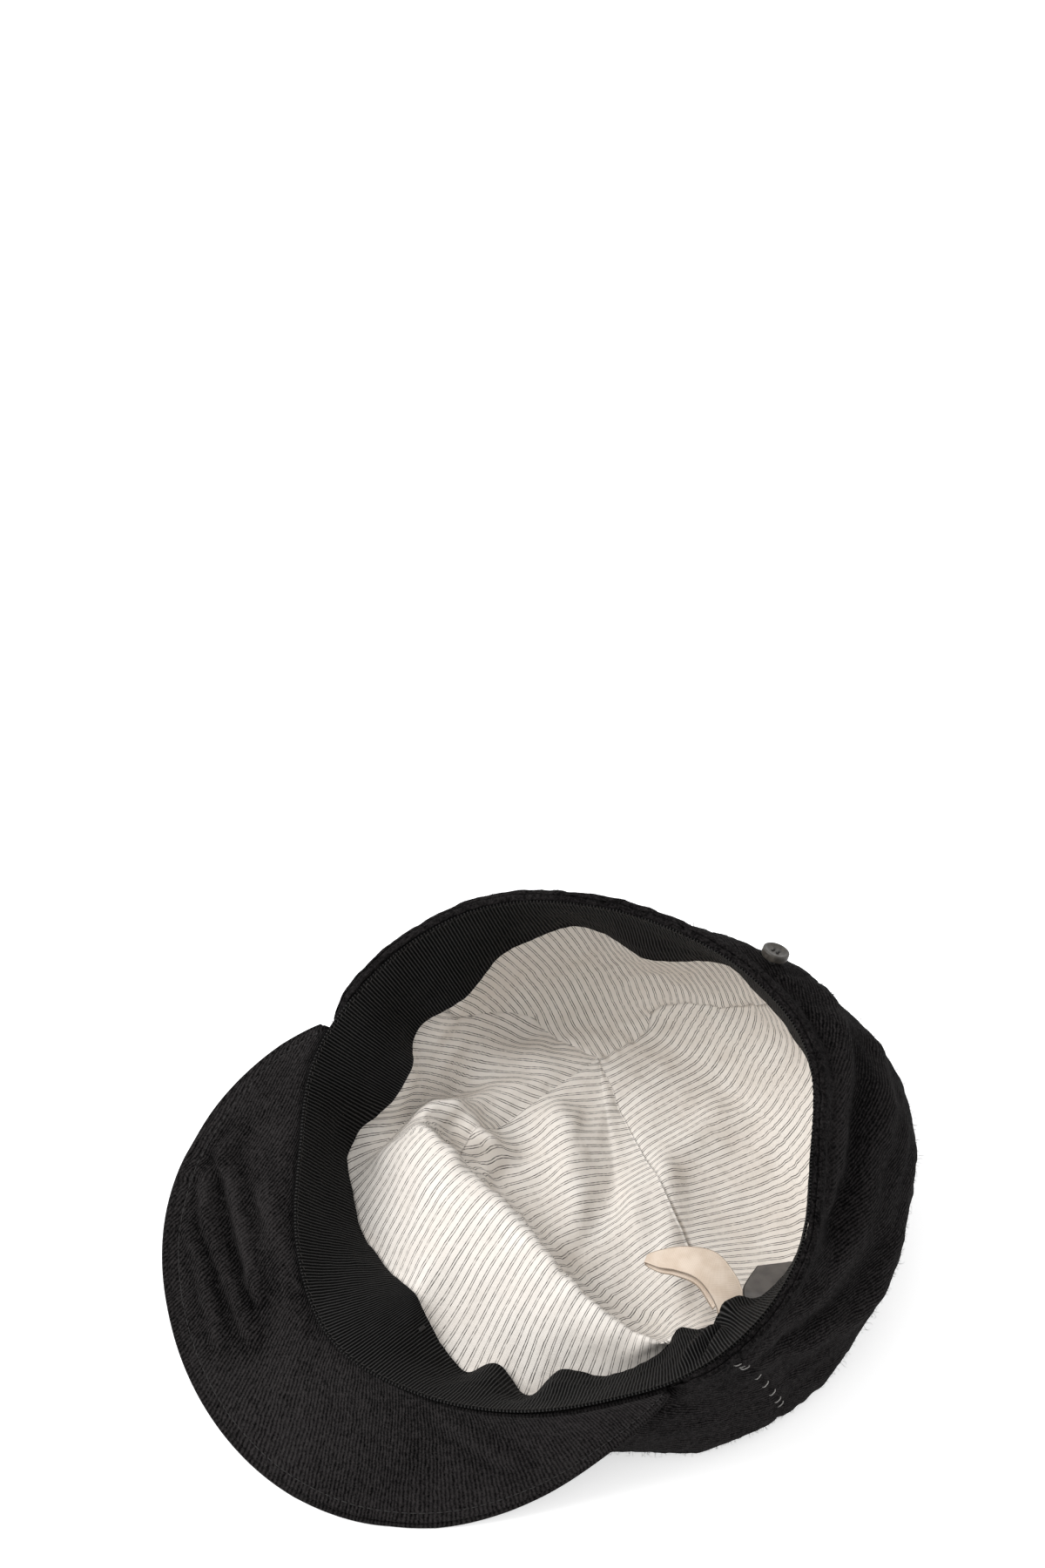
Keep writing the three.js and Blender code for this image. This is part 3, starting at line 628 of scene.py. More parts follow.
wool_faces = []  # the middles, outward normals and half thicknesses of the wool, for its lint
CROWN_COLUMNS, CROWN_ROWS, HEM_ROWS = 100, 130, 18
for side, first, last, grain in [("back_right", "right", "back", 58), ("back_left", "back", "left", 50),
                                 ("front_left", "left", "front", 50), ("front_right", "front", "right", 50)]:
    hem_rows = np.linspace(0, HEM_END, HEM_ROWS + 1)[:-1]
    t = np.concatenate([hem_rows, np.linspace(HEM_END, 1, CROWN_ROWS - HEM_ROWS)])[:, None]
    heading = between_seams(CROWN_SEAMS, first, last, t, CROWN_COLUMNS)
    middle = crown_middle(heading, t)
    free = smooth(HEM_END * 0.7, HEM_END + 0.12, t) * (1 - smooth(0.75, 0.85, t))
    swell = sum(fold(middle, *f) for f in CROWN_FOLDS) * smooth(HEM_END * 0.6, HEM_END + 0.05, t)
    swell = swell + free * (0.9 * ripple(middle, 46, 3) + 0.4 * ripple(middle, 17, 4))
    swell = swell + 0.15 * ripple(middle, 9, 5) + 0.12 * ripple(middle, 4.5, 6)
    swell = swell + sewn_edges(middle, CROWN_APEX, 0.8, 1.7, 0.3, 8.5) * smooth(0.16, 0.3, t)
    middle = middle - facing(middle) * spread(swell)
    middle[..., 2] = np.maximum(middle[..., 2], WOOL / 2)
    hem_thick = hem_value(THICKNESS, t)
    thick = hem_thick + (WOOL - hem_thick) * under_peak(heading)
    # Painted light and shade on the crown: paler along its folds' crests, darker beside them, and a little
    # darker all over as painted shade.
    painted_shading = painted_fold_shading(middle, CROWN_FOLDS) * 0.1 - 0.07
    pressed = 0.85 * (1 - smooth(HEM_END * 0.8, HEM_END * 1.3, t))
    panel = cloth("crown_" + side, middle, thick, black_wool, flat_cut(middle, 0, grain),
                  point_values={"painted_shading": painted_shading, "pressed": pressed})
    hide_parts("crown_" + side)
    wool_faces.append((middle, -facing(middle), np.broadcast_to(thick, heading.shape) / 2))

# ---------------------------------------------------------------- peak
# Two layers of the same wool, a little apart; the thin stiffener between them isn't built. The outer layer
# reaches a little further and rolls over the edge, a line of stitches runs just inside it, and the left half
# is creased.

PEAK_DEPTH = 53.5
PEAK_ROLL = 2.4  # how much further the outer layer reaches
PEAK_SAG = 3.0  # how far its middle hangs below a straight line
PEAK_STITCH = 3.1  # from the edge to the line of stitches
PEAK_GRAIN = 35  # how far the twill is turned, in degrees
PEAK_FRONT = 272  # the heading that its pattern fans out from
PEAK_CREASES = [
    # points along the crease, how far it stands out, how wide it is
    ([(-74, -84, 42), (-71, -91, 42), (-60, -97, 38), (-50, -100, 35), (-37, -103, 32), (-21, -107, 27)],
     2.9, 2.6),
    ([(-78, -72, 47), (-76, -80, 47), (-61, -86, 43), (-45, -93, 39), (-28, -98, 35)], 2.8, 2.6),
    ([(-55, -78, 47), (-39, -82, 46), (-22, -86, 40)], 1.3, 3.4),
    ([(-62, -104, 35), (-53, -106, 33), (-44, -110, 29), (-28, -116, 22)], 2.1, 2.6),
    ([(-68, -86, 44), (-54, -92, 40), (-40, -98, 36)], -1.8, 2.6),
    ([(-70, -76, 47), (-58, -80, 46), (-44, -87, 43)], -1.2, 2.6),
    ([(46, -82, 42), (53, -76, 38), (70, -64, 26)], 1.4, 3.6),
    ([(0, -86, 40), (20, -92, 30), (40, -90, 20)], 1.0, 5.5),
]


def peak_depth(heading):
    """How far the peak reaches from the rim, from almost nothing at its two ends."""
    u = (2 * peak_share(heading) - 1) * 0.985
    return PEAK_DEPTH * (1 - u * u) ** (0.6 + 0.12 * smooth(-0.7, -1, u)) * (1 - 0.05 * u)


def peak_start(heading):
    """How far from the rim the peak begins, to stay clear of the sweatband."""
    wedge = math.pi - np.radians(peak_slope(heading)) - np.radians(section(LEAN, heading))
    clear = SEAM_GAP / 2 + RIBBON_SHOWN / 2 + (PEAK_CLOTH + SEAM_GAP / 2) * np.cos(wedge)
    return np.maximum(0.6, clear / np.sin(wedge))


def left_part(heading):
    """1 along the peak's left and 0 along its right."""
    return smooth(0.62, 0.4, peak_share(heading))


def peak_middle(heading, t, side, reach):
    """The middle of one layer: side is 1 for the layer that faces the eyes and -1 for the outer one."""
    rim, start = rim_frame(heading), peak_start(heading)
    depth = peak_depth(heading) + reach
    slope = np.radians(peak_slope(heading))
    distance = start + (depth - start) * t
    sag = 4 * PEAK_SAG * t * (1 - t) * depth / PEAK_DEPTH
    dip = 2.0 * np.exp(-((distance - 3.5) / 4.0) ** 2) * left_part(heading)
    sag = sag + dip * smooth(0.02, 0.14, peak_share(heading))
    rolled = smooth(depth - 3.2, depth - 0.4, distance) * (side < 0)
    apart = side * (PEAK_CLOTH + SEAM_GAP) / 2 + rolled - sag
    p = off_rim(rim, distance * np.cos(slope), distance * np.sin(slope))
    lift = sum(fold(p, *crease) for crease in PEAK_CREASES)
    lift = lift + 0.35 * ripple(p, 24, 11) + 0.16 * ripple(p, 8, 12)
    groove = -0.45 * np.exp(-((depth - reach - distance - PEAK_STITCH) / 0.8) ** 2)
    face = rim[1] * spread(np.sin(slope)) - rim[2] * spread(np.cos(slope))
    p = p + face * spread(apart + lift * smooth(0, 12, distance) * smooth(0, 9, depth - distance) + groove)
    p[..., 2] = np.maximum(p[..., 2], PEAK_CLOTH / 2 + (PEAK_CLOTH + SEAM_GAP) * (side > 0))
    return p


peak_headings = np.linspace(PEAK_FROM, PEAK_TO, 220)
peak_rows = (1 - (1 - np.linspace(0, 1, 56)) ** 1.25)[:, None]  # closer together towards the edge


def peak_cut(middle):
    """The peak laid flat as a fan: each column runs straight out from the rim, turned by the rim's bend."""
    bend = (peak_headings - PEAK_FRONT) * np.cos(np.radians(peak_slope(peak_headings)))
    fan = PEAK_GRAIN + PEAK_FRONT + bend
    run = np.gradient(measured(middle, 1)[0])
    rim = np.cumsum(outward(fan + 90)[:, :2] * run[:, None], 0)
    return rim + outward(fan)[:, :2] * measured(middle, 0)[..., None]


for name, side, reach in [("peak_underside", 1, 0.0), ("peak_outer", -1, PEAK_ROLL)]:
    middle = peak_middle(peak_headings[None, :], peak_rows, side, reach)
    thick = PEAK_CLOTH - side * 0.5 * smooth(0.9, 1, peak_rows)
    # Painted light and shade on the peak: paler along its creases, darker beside them, a little lighter all
    # over as painted light, and a painted shadow beside the sweatband along its left half.
    painted_rim_shadow = np.exp(-(measured(middle, 0) / 3.5) ** 2) * left_part(peak_headings)
    painted_shading = painted_fold_shading(middle, PEAK_CREASES) * 0.2 + 0.08 - 0.5 * painted_rim_shadow
    layer = cloth(name, middle, thick, black_wool, peak_cut(middle), point_values={"painted_shading": painted_shading})
    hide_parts(name)
    out = facing(middle)
    out = out * np.sign(out[..., 2:].mean()) * side
    wool_faces.append((middle, out, np.broadcast_to(thick, middle.shape[:2]) / 2))


def threads(name, paths, radius, finish, sides=6):
    """Round threads with closed ends along equal paths of points, as one piece."""
    paths = np.asarray(paths, float)
    count, stops = paths.shape[:2]
    run = unit(np.gradient(paths, axis=1))
    least = np.eye(3)[np.abs(run).mean(1).argmin(-1)][:, None]
    across = unit(np.cross(run, least))
    other = np.cross(run, across)
    turn = np.linspace(0, 2 * np.pi, sides, endpoint=False)[:, None]
    thick = np.broadcast_to(radius, (stops,))[:, None, None]
    spokes = across[:, :, None] * np.cos(turn) + other[:, :, None] * np.sin(turn)
    rings = paths[:, :, None] + spokes * thick
    ends = [paths[:, 0] - run[:, 0] * thick[0, 0] * 0.6, paths[:, -1] + run[:, -1] * thick[-1, 0] * 0.6]
    size = stops * sides
    ids = np.arange(count * size).reshape(count, stops, sides)
    nxt = np.roll(ids, -1, 2)
    tips = count * size + np.arange(2 * count).reshape(2, count)[..., None]
    walls = np.stack([ids[:, :-1], ids[:, 1:], nxt[:, 1:], nxt[:, :-1]], -1).reshape(-1, 4)
    low = np.stack([ids[:, 0], nxt[:, 0], np.broadcast_to(tips[0], (count, sides))], -1).reshape(-1, 3)
    high = np.stack([nxt[:, -1], ids[:, -1], np.broadcast_to(tips[1], (count, sides))], -1).reshape(-1, 3)
    points = np.concatenate([rings.reshape(-1, 3), *ends])
    return solid(name, points, [walls, low, high], finish)


def stitches(at, ahead, out, length, rise, slant=0.0):
    """Paths of short stitches that lie on cloth at points, pointing ahead and dipping in at both ends."""
    sideways = np.cross(out, ahead)
    way = unit(ahead + sideways * slant)[:, None]
    place = np.linspace(-0.5, 0.5, 7)[None, :, None]
    return at[:, None] + way * place * length + out[:, None] * rise * (1 - (2 * place) ** 4 * 1.8)


def evenly(line, pitch, first=0.0):
    """Points and directions at even steps along a line of points."""
    run = np.concatenate([[0], np.linalg.norm(np.diff(line, axis=0), axis=1).cumsum()])
    stops = np.arange(first + pitch / 2, run[-1], pitch)
    pick = lambda d: np.stack([np.interp(d, run, line[:, k]) for k in range(3)], -1)
    return pick(stops), unit(pick(stops + 0.2) - pick(stops - 0.2))


black_thread, paint = material("black_thread")
twist = paint.noise(0.0006, 2)
shade(paint, {"Base Color": paint.mix(twist, (0.008, 0.0075, 0.0075, 1), (0.03, 0.028, 0.027, 1)),
              "Roughness": 0.6, "Specular IOR Level": 0.3,
              "Normal": twist.bump(0.5, 0.0001)})

for name, side, reach in [("peak_stitches_inside", 1, 0.0), ("peak_stitches_outside", -1, PEAK_ROLL)]:
    headings = peak_headings[peak_depth(peak_headings) > 7]
    depth, start = peak_depth(headings), peak_start(headings)
    row = (depth - PEAK_STITCH - start) / (depth + reach - start)
    pair = peak_middle(headings[None], row[None] + [[0.0], [0.01]], side, reach)
    spots, ahead = evenly(pair[0], 3.0)
    out = np.cross(unit(np.gradient(pair[0], axis=0)), unit(pair[1] - pair[0]))
    wanted, stops = np.linspace(0, 1, len(spots)), np.linspace(0, 1, len(out))
    out = np.stack([np.interp(wanted, stops, out[:, k]) for k in range(3)], -1)
    out = unit(out) * np.sign(out[:, 2:].mean()) * side
    sewn = stitches(spots + out * (PEAK_CLOTH / 2 - 0.05), ahead, out, length=2.3, rise=0.16)
    threads(name, sewn, 0.2, black_thread)

# ---------------------------------------------------------------- sweatband
# A black grosgrain ribbon with ribs across it, stitched to the opening along one edge. The free edge
# is too long for the curve that it lies on, so it waves in and out.

RIB_PITCH = 0.00122  # metres from one rib to the next
TUCK_HEADING, TUCK_SLANT = 8.5, 0.44  # where it meets the free edge, and degrees per mm up from there

black_grosgrain, paint = material("black_grosgrain")
across, _ = paint.on_cut_cloth()
# The ribs feed the colour as well as the bump: painted shade between the ribs and painted highlight on them.
ribs = across.wave(RIB_PITCH) * 0.5 + 0.5
ribs = ribs * ribs
dust = paint.noise(0.0011, 3)
patches = paint.noise(0.02, 2)
tone = paint.mix((ribs * 0.9 + dust * 0.3 + patches * 0.25).between(0.2, 1.35),
                 (0.0006, 0.0006, 0.0006, 1), (0.052, 0.0505, 0.0497, 1))
shade(paint, {"Base Color": tone, "Roughness": 0.7, "Normal": (ribs * 1.1 + dust * 0.3).bump(0.9, 0.0005),
              "Specular IOR Level": 0.04, "Sheen Weight": 0.008, "Sheen Roughness": 0.4})

headings, share = np.linspace(0, 360, 721)[None, :], np.linspace(0, 1, 37)[:, None]
down_it = ribbon_top(headings) * (1 - share) + RIBBON_WIDTH * share
middle = sweat_point(headings, down_it, 0)
flutter = 0.25 * ripple(middle, 13, 21) * smooth(6, 24, down_it)
flutter = flutter + 0.1 * ripple(middle, 6, 22) * smooth(0, 4, down_it)
tuck_line = TUCK_HEADING - (RIBBON_WIDTH - down_it) * TUCK_SLANT
beside = (headings - tuck_line + 180) % 360 - 180  # degrees from the tuck
tuck = 2.6 * np.exp(-((abs(beside) - 3.4) / 2.2) ** 2) - 1.8 * np.exp(-(beside / 1.1) ** 2)
flutter = flutter + tuck * smooth(2, 16, down_it)
middle = middle + facing(middle, True) * spread(flutter)
rim_run = measured(middle, 1)[0]
cut = np.stack(np.broadcast_arrays(rim_run[None, :-1], down_it[:, :-1]), -1)
band = cloth("sweatband", middle, RIBBON_SHOWN, black_grosgrain, cut, closed=True)
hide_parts("sweatband")


def fibre_finish(name, patch, dark, pale, roughness, specular):
    """Thread or lint whose tone varies in patches of a size in metres."""
    made, paint = material(name)
    tone = paint.mix(paint.noise(patch), (*dark, 1), (*pale, 1))
    shade(paint, {"Base Color": tone, "Roughness": roughness, "Specular IOR Level": specular})
    return made


soft_thread = fibre_finish("soft_thread", 0.0005, (0.012, 0.0115, 0.011), (0.06, 0.056, 0.053), 0.75, 0.12)
turns = np.linspace(0, 360, 1441)
line = sweat_point(turns, ribbon_top(turns) + 0.8, 0)
spots, ahead = evenly(line, 2.35)
inward = -facing(np.stack([sweat_point(turns, -0.1, 0), line, sweat_point(turns, 0.9, 0)]), True)[1]
nearest = np.array([np.abs(line - spot).sum(1).argmin() for spot in spots])
inward = inward[nearest]
inward = inward * -np.sign((inward * (spots - [OPENING_X, 0, 60])).sum(-1, keepdims=True))
sewn = stitches(spots + inward * RIBBON_SHOWN / 2, ahead, inward, length=1.5, rise=0.12, slant=0.5)
threads("rim_stitches", sewn, 0.14, soft_thread, 5)

# A bar of close stitches that tacks the ribbon down at the front.
TACK_HEADING = 281.0
across = np.linspace(-1.2, 1.2, 9)
at = sweat_point(TACK_HEADING + across * 0.35, 30.5, 0)
line = unit(sweat_point(TACK_HEADING, 33.0, 0) - sweat_point(TACK_HEADING, 28.0, 0))
up = np.broadcast_to([0.0, 0.35, 0.94], at.shape)
sewn = stitches(at + up * 0.45, np.broadcast_to(line, at.shape), up, length=3.2, rise=0.15)
threads("bar_tack", sewn, 0.16, black_thread, 5)

# ---------------------------------------------------------------- lining
# Four panels of thin off-white cotton with pairs of fine dark stripes, sewn like the crown and
# caught behind the sweatband. It has slumped inwards, so its front stands up in one long fold.

COTTON = 1.0  # thickness left for the lining, more than its own
COTTON_SHOWN = 0.6
LINING_SECTIONS = np.array([
    # a point on its wall or on its fold's crest, a point at the foot of that, how hollow it is between
    [77, 4, 41, 58, 17, 18, 3],
    [91, 46, 28, 67, 54, 10, 2],
    [85, 80, 32, 59, 78, 8, 2],
    [49, 110, 34, 33, 94, 8, 2],
    [4, 116, 34, -5, 98, 8, 2],
    [-37, 102, 32, -37, 92, 8, 2],
    [-69, 78, 30, -59, 76, 9, 2],
    [-81, 44, 30, -69, 50, 12, 2],
    [-73, 14, 32, -66, 24, 19, 1],
    [-62, -8, 27, -60, 8, 22, 0],
    [-54, -30, 27, -54, -6, 24, -2],
    [-40, -17, 43, -44, -2, 18, 4],
    [-17, -15.5, 45.5, -27, 2.5, 14, 8],
    [8, -14.5, 47, -4, 3, 12, 9],
    [37, -14, 46, 21, 3, 12, 9],
    [62, -8, 42.5, 46, 7, 14, 8],
])
LINING_APEX = np.array([-46, 64, 12])
LINING_SEAMS = {"right": (4, 10, 0.2, 0.6), "back": (93, 121, 0.2, 0.55), "left": (175, 152, 0.2, 0.6),
                "front": (353, 252, 0.37, 0.66)}
BEHIND_RIBBON = 4 * SEAM_GAP + (RIBBON + COTTON) / 2  # from the sweatband's middle to the lining's
LINING_HIDDEN = 0.2  # the share of its way that is behind the sweatband

LINING_FOLDS = [
    # points along a soft ridge or, below zero, a valley, seen from above; its height and width
    ([(-45, -17), (-28, -17), (-15, -15.5), (6, -14.5), (25, -14.5), (43, -13), (61, -8), (76, -2)], 2.0, 4),
    ([(-45, -17), (-53, -8), (-54, -2), (-51, 3), (-44, 5), (-37, 7)], 11, 7),
    ([(-43, -48), (-53, -33), (-61, -18), (-65, -5), (-64, 6), (-60, 17)], -4, 6),
    ([(-84, 29), (-76, 18), (-68, 6)], 2.2, 5),
    ([(-73, -10), (-67, 5), (-60, 24), (-57, 37)], -2.2, 4.5),
    ([(-70, 30), (-62, 47), (-57, 30), (-56, 18)], 1.6, 5),
    ([(-42, -5), (-31, 2), (-14, 1), (8, -1), (24, 0), (44, 3), (58, 9)], -4.0, 5),
    ([(-34, 36), (-25, 33), (-12, 26), (1, 18), (12, 9)], 6.5, 8.5),
    ([(-24, 57), (-14, 51), (-4, 43), (5, 30), (12, 17), (17, 6)], -4.0, 7),
    ([(9, 53), (20, 46), (28, 39), (36, 32), (46, 27)], 3.4, 5),
    ([(9, 53), (12, 38), (16, 24), (20, 12)], 2.6, 6),
    ([(3, 61), (1, 73), (1, 85), (9, 95), (21, 99), (32, 101)], 3.6, 7),
    ([(-39, 2), (-32, 10), (-21, 18), (-13, 24)], 1.6, 3.5),
    ([(-41, 12), (-39, 24), (-40, 40)], -1.4, 5),
]


def lining_middle(heading, t):
    """The middle of the lining: straight down behind the sweatband, over the fold, and in to its apex."""
    heading, t = np.broadcast_arrays(np.asarray(heading, float), np.asarray(t, float))
    wall, foot = around(LINING_SECTIONS[:, :3], heading), around(LINING_SECTIONS[:, 3:6], heading)
    hollow = around(LINING_SECTIONS[:, 6], heading)
    between = wall + (foot - wall) * 0.5 - np.array([0, 0, 1]) * spread(hollow)
    apex = LINING_APEX + outward(heading) * APEX_RADIUS
    edge = sweat_point(heading, RIBBON_WIDTH + 2.0, BEHIND_RIBBON)
    top = sweat_point(heading, 14.0, BEHIND_RIBBON)
    hidden = top + (edge - top) * spread(np.minimum(t / LINING_HIDDEN, 1))
    run = (t - LINING_HIDDEN) / (1 - LINING_HIDDEN)
    p = through([edge, wall, between, foot, foot + (LINING_APEX - foot) * 0.55, apex], run)
    flat = p * [1, 1, 0]
    lift = sum(fold(flat, [(x, y, 0) for x, y in path], height, width)
               for path, height, width in LINING_FOLDS)
    p[..., 2] += lift * smooth(0.15, 0.4, run)
    return np.where(spread(t) < LINING_HIDDEN, hidden, p)


STRIPE_PITCH, COTTON_WEAVE = 0.003, 0.00045  # metres from pair to pair, and from thread to thread

striped_cotton, paint = material("striped_cotton")
across, lengthways = paint.on_cut_cloth()
in_pair = abs((lengthways * (1 / STRIPE_PITCH)).fraction() - 0.5)
line = abs(in_pair - 0.125).between(0.062, 0.038)
worn = paint.noise(0.0016, 2)
patches = paint.noise(0.014, 3)
ink = line * (worn * 0.9 + patches * 0.5).between(0.2, 0.9)
weave = across.wave(COTTON_WEAVE) + lengthways.wave(COTTON_WEAVE)
crumple = paint.noise(0.006, 3)
ground = paint.mix(patches.between(0.3, 0.75), (0.80, 0.745, 0.685, 1), (0.845, 0.80, 0.745, 1))
shade(paint, {"Base Color": paint.mix(ink * 0.95, ground, (0.035, 0.032, 0.03, 1)), "Roughness": 0.92,
              "Normal": (crumple * 0.8 + weave * 0.03).bump(0.55, 0.0008),
              "Specular IOR Level": 0.12, "Sheen Weight": 0.05})

LINING_COLUMNS, LINING_ROWS = 96, 110
for side, first, last, stripes_follow, stripes_turn in [
        ("back_right", "right", "back", -1, 0), ("back_left", "back", "left", -1, 25),
        ("front_left", "left", "front", 0, -28), ("front_right", "front", "right", 0, 22)]:
    t = np.linspace(0, 1, LINING_ROWS)[:, None]
    heading = between_seams(LINING_SEAMS, first, last, t, LINING_COLUMNS)
    middle = lining_middle(heading, t)
    shown = smooth(LINING_HIDDEN, LINING_HIDDEN + 0.1, t)
    rippled = 0.5 * ripple(middle, 28, 31) + 0.28 * ripple(middle, 12, 32) + 0.08 * ripple(middle, 6, 33)
    swell = shown * rippled + shown * sewn_edges(middle, LINING_APEX, 0.45, 1.3, 0.35, 7.0)
    middle = middle + facing(middle) * spread(swell)
    panel = cloth("lining_" + side, middle, COTTON_SHOWN, striped_cotton,
                  flat_cut(middle, stripes_follow, stripes_turn))
    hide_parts("lining_" + side)

# ---------------------------------------------------------------- care label
# A folded tape of unbleached cotton, sewn in under the sweatband, that curls out over the lining.

LABEL_WEAVE = 0.0007  # metres from thread to thread

ecru_tape, paint = material("ecru_tape")
across, lengthways = paint.on_cut_cloth()
weave = across.wave(LABEL_WEAVE) * lengthways.wave(LABEL_WEAVE)
patches = paint.noise(0.006, 3)
tone = paint.mix(patches.between(0.3, 0.7), (0.614, 0.5, 0.397, 1), (0.707, 0.596, 0.494, 1))
shade(paint, {"Base Color": tone, "Roughness": 0.85, "Normal": (weave * 0.5 + patches).bump(0.4, 0.0002),
              "Specular IOR Level": 0.2})

TAPE_COLUMNS, TAPE_ROWS = 80, 26


def tape(name, edges, thickness, finish):
    """A strip of tape between two smooth edges, given as matching lists of points."""
    t = np.linspace(0, 1, TAPE_COLUMNS)[None, :]
    a, b = (through([np.broadcast_to(np.array(p, float), (1, TAPE_COLUMNS, 3)) for p in edge], t)
            for edge in edges)
    middle = a + (b - a) * np.linspace(0, 1, TAPE_ROWS)[:, None, None]
    cut = np.stack([measured(middle, 1), measured(middle, 0)], -1)
    return cloth(name, middle, thickness, finish, cut)


LABEL_EDGES = [
    [(83, 33, 42), (77.5, 31.1, 45), (69.9, 33, 46.5), (58.8, 33.1, 47), (50.8, 27.4, 46), (45, 21.4, 42.4),
     (41.8, 17, 38.6), (42.3, 17.4, 37.2), (46, 21.6, 40.4), (51.6, 27, 44), (59.4, 32, 45), (70, 31.6, 44.6)],
    [(87, 17, 43), (82.5, 16.7, 45), (73.7, 20.7, 46), (62.8, 21.9, 46), (54.4, 19.2, 43.4),
     (48.7, 16.7, 40), (42.9, 15, 37.2), (43.4, 15.2, 35.8), (49.2, 16.4, 37.8), (55, 18.6, 41.2),
     (63.2, 21, 43.8), (74, 19.6, 43.8)],
]
label = tape("care_label", LABEL_EDGES, 0.5, ecru_tape)
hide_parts("care_label")

# ---------------------------------------------------------------- satin tab
# A short grey satin tape beside the label, turned back on itself in a round fold.

SATIN_THREAD = 0.0005  # metres from thread to thread

grey_satin, paint = material("grey_satin")
across, _ = paint.on_cut_cloth()
patches = paint.noise(0.004, 2)
tone = paint.mix(patches.between(0.3, 0.7), (0.082, 0.075, 0.069, 1), (0.12, 0.108, 0.099, 1))
shade(paint, {"Base Color": tone, "Roughness": 0.38, "Specular IOR Level": 0.6,
              "Normal": (across.wave(SATIN_THREAD) + patches).bump(0.3, 0.0001)})

TAB_EDGES = [
    [(69.1, 43.6, 41), (71.5, 38.5, 43.6), (74.6, 32.6, 45.8), (76.5, 30.8, 46.6), (78, 30, 46),
     (78.4, 29.8, 44.8), (77.8, 30.4, 43.8), (76, 32.4, 43)],
    [(76, 56, 41), (79.4, 49.4, 43.6), (83.2, 42.6, 45.8), (85, 40, 46.6), (86.2, 38.4, 46),
     (86.6, 37.8, 44.8), (86, 38.6, 43.8), (84.2, 41, 43)],
]
tab = tape("satin_tab", TAB_EDGES, 0.6, grey_satin)
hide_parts("satin_tab")

# ---------------------------------------------------------------- button
# A small four hole button of dark horn with a raised rim, sewn to the back of the crown on a shank
# of wound thread, for a strap or flap to hook on to.

dark_horn, paint = material("dark_horn")
stretched = paint.node("Mapping", None, {
    "Vector": paint.node("TexCoord").other("Object"), "Scale": (1.0, 1.0, 0.3)})
streaks = paint.noise(0.0016, 3, stretched)
specks = paint.noise(0.0004, 2)
tone = paint.mix((streaks * 0.8 + specks * 0.4).between(0.35, 0.85),
                 (0.022, 0.019, 0.016, 1), (0.075, 0.066, 0.056, 1))
shade(paint, {"Base Color": tone, "Roughness": specks * 0.25 + 0.3, "Specular IOR Level": 0.5,
              "Normal": (specks + streaks).bump(0.25, 0.0001)})

BUTTON_HEADING, BUTTON_ROW = 91.3, 0.35
BUTTON_RADIUS, BUTTON_THICKNESS, BUTTON_DISH, BUTTON_RIM = 4.8, 3.0, 0.6, 1.1
BUTTON_SIDES = 72
HOLE_OFFSET, HOLE_RADIUS = 0.95, 0.55
SHANK_LENGTH, SHANK_RADIUS = 1.6, 1.3
SHANK_TURNS, SHANK_STOPS = 7, 160
spot = crown_middle(BUTTON_HEADING + np.array([[-0.5, 0, 0.5]] * 3),
                    BUTTON_ROW + np.array([[-0.001], [0], [0.001]]))
axis = np.cross(spot[1, 2] - spot[1, 0], spot[2, 1] - spot[0, 1])
axis = axis / np.linalg.norm(axis) * np.sign(axis[2])
seat = spot[1, 1] + axis * (WOOL / 2 + SEAM_GAP)
sideways = unit(np.cross(axis, [0, 0, 1.0]))
upward = np.cross(sideways, axis)


def stood(points):
    """Points in the button's own frame, z out along its axis, moved to its place."""
    points = np.asarray(points, float)
    return seat + points[..., :1] * sideways + points[..., 1:2] * upward + points[..., 2:] * axis


def rounded(radius, z, size, start):
    """A quarter circle in the button's outline, round a centre and from an angle on."""
    return [(radius + size * math.cos(start + a), z + size * math.sin(start + a))
            for a in np.linspace(0, np.pi / 2, 6)]


back = SHANK_LENGTH + SEAM_GAP
face = back + BUTTON_THICKNESS
dished = face - BUTTON_DISH
inner = BUTTON_RADIUS - BUTTON_RIM
outline = [(0.001, back), (2.0, back)] + rounded(BUTTON_RADIUS - 0.7, back + 0.7, 0.7, -np.pi / 2)
outline += rounded(BUTTON_RADIUS - 0.45, face - 0.45, 0.45, 0)
outline += [(inner + 0.1, face - 0.03), (inner - 0.15, face - 0.16), (inner - 0.5, face - 0.42)]
outline += [(inner - 1.0, face - 0.56), (1.6, dished), (0.001, dished)]
outline = np.array(outline)
turns = np.linspace(0, 2 * np.pi, BUTTON_SIDES, endpoint=False)
rings = np.stack([outline[:, :1] * np.cos(turns), outline[:, :1] * np.sin(turns),
                  np.repeat(outline[:, 1:], BUTTON_SIDES, 1)], -1)
ids = np.arange(rings.size // 3).reshape(len(outline), BUTTON_SIDES)
nxt = np.roll(ids, -1, 1)
walls = np.stack([ids[:-1], nxt[:-1], nxt[1:], ids[1:]], -1).reshape(-1, 4)
points = np.concatenate([stood(rings).reshape(-1, 3), stood([(0, 0, back), (0, 0, dished)])])
caps = [np.stack([nxt[0], ids[0], np.full(BUTTON_SIDES, ids.size)], -1),
        np.stack([ids[-1], nxt[-1], np.full(BUTTON_SIDES, ids.size + 1)], -1)]
button = solid("button", points, [walls, *caps], dark_horn)
holes = [stood([(x, y, z) for z in (back - 1, back, face, face + 1)])
         for x in (-HOLE_OFFSET, HOLE_OFFSET) for y in (-HOLE_OFFSET, HOLE_OFFSET)]
drills = threads("drill", holes, HOLE_RADIUS, dark_horn, 16)
cut_holes = button.modifiers.new("holes", "BOOLEAN")
cut_holes.operation, cut_holes.object, cut_holes.solver = "DIFFERENCE", drills, "EXACT"
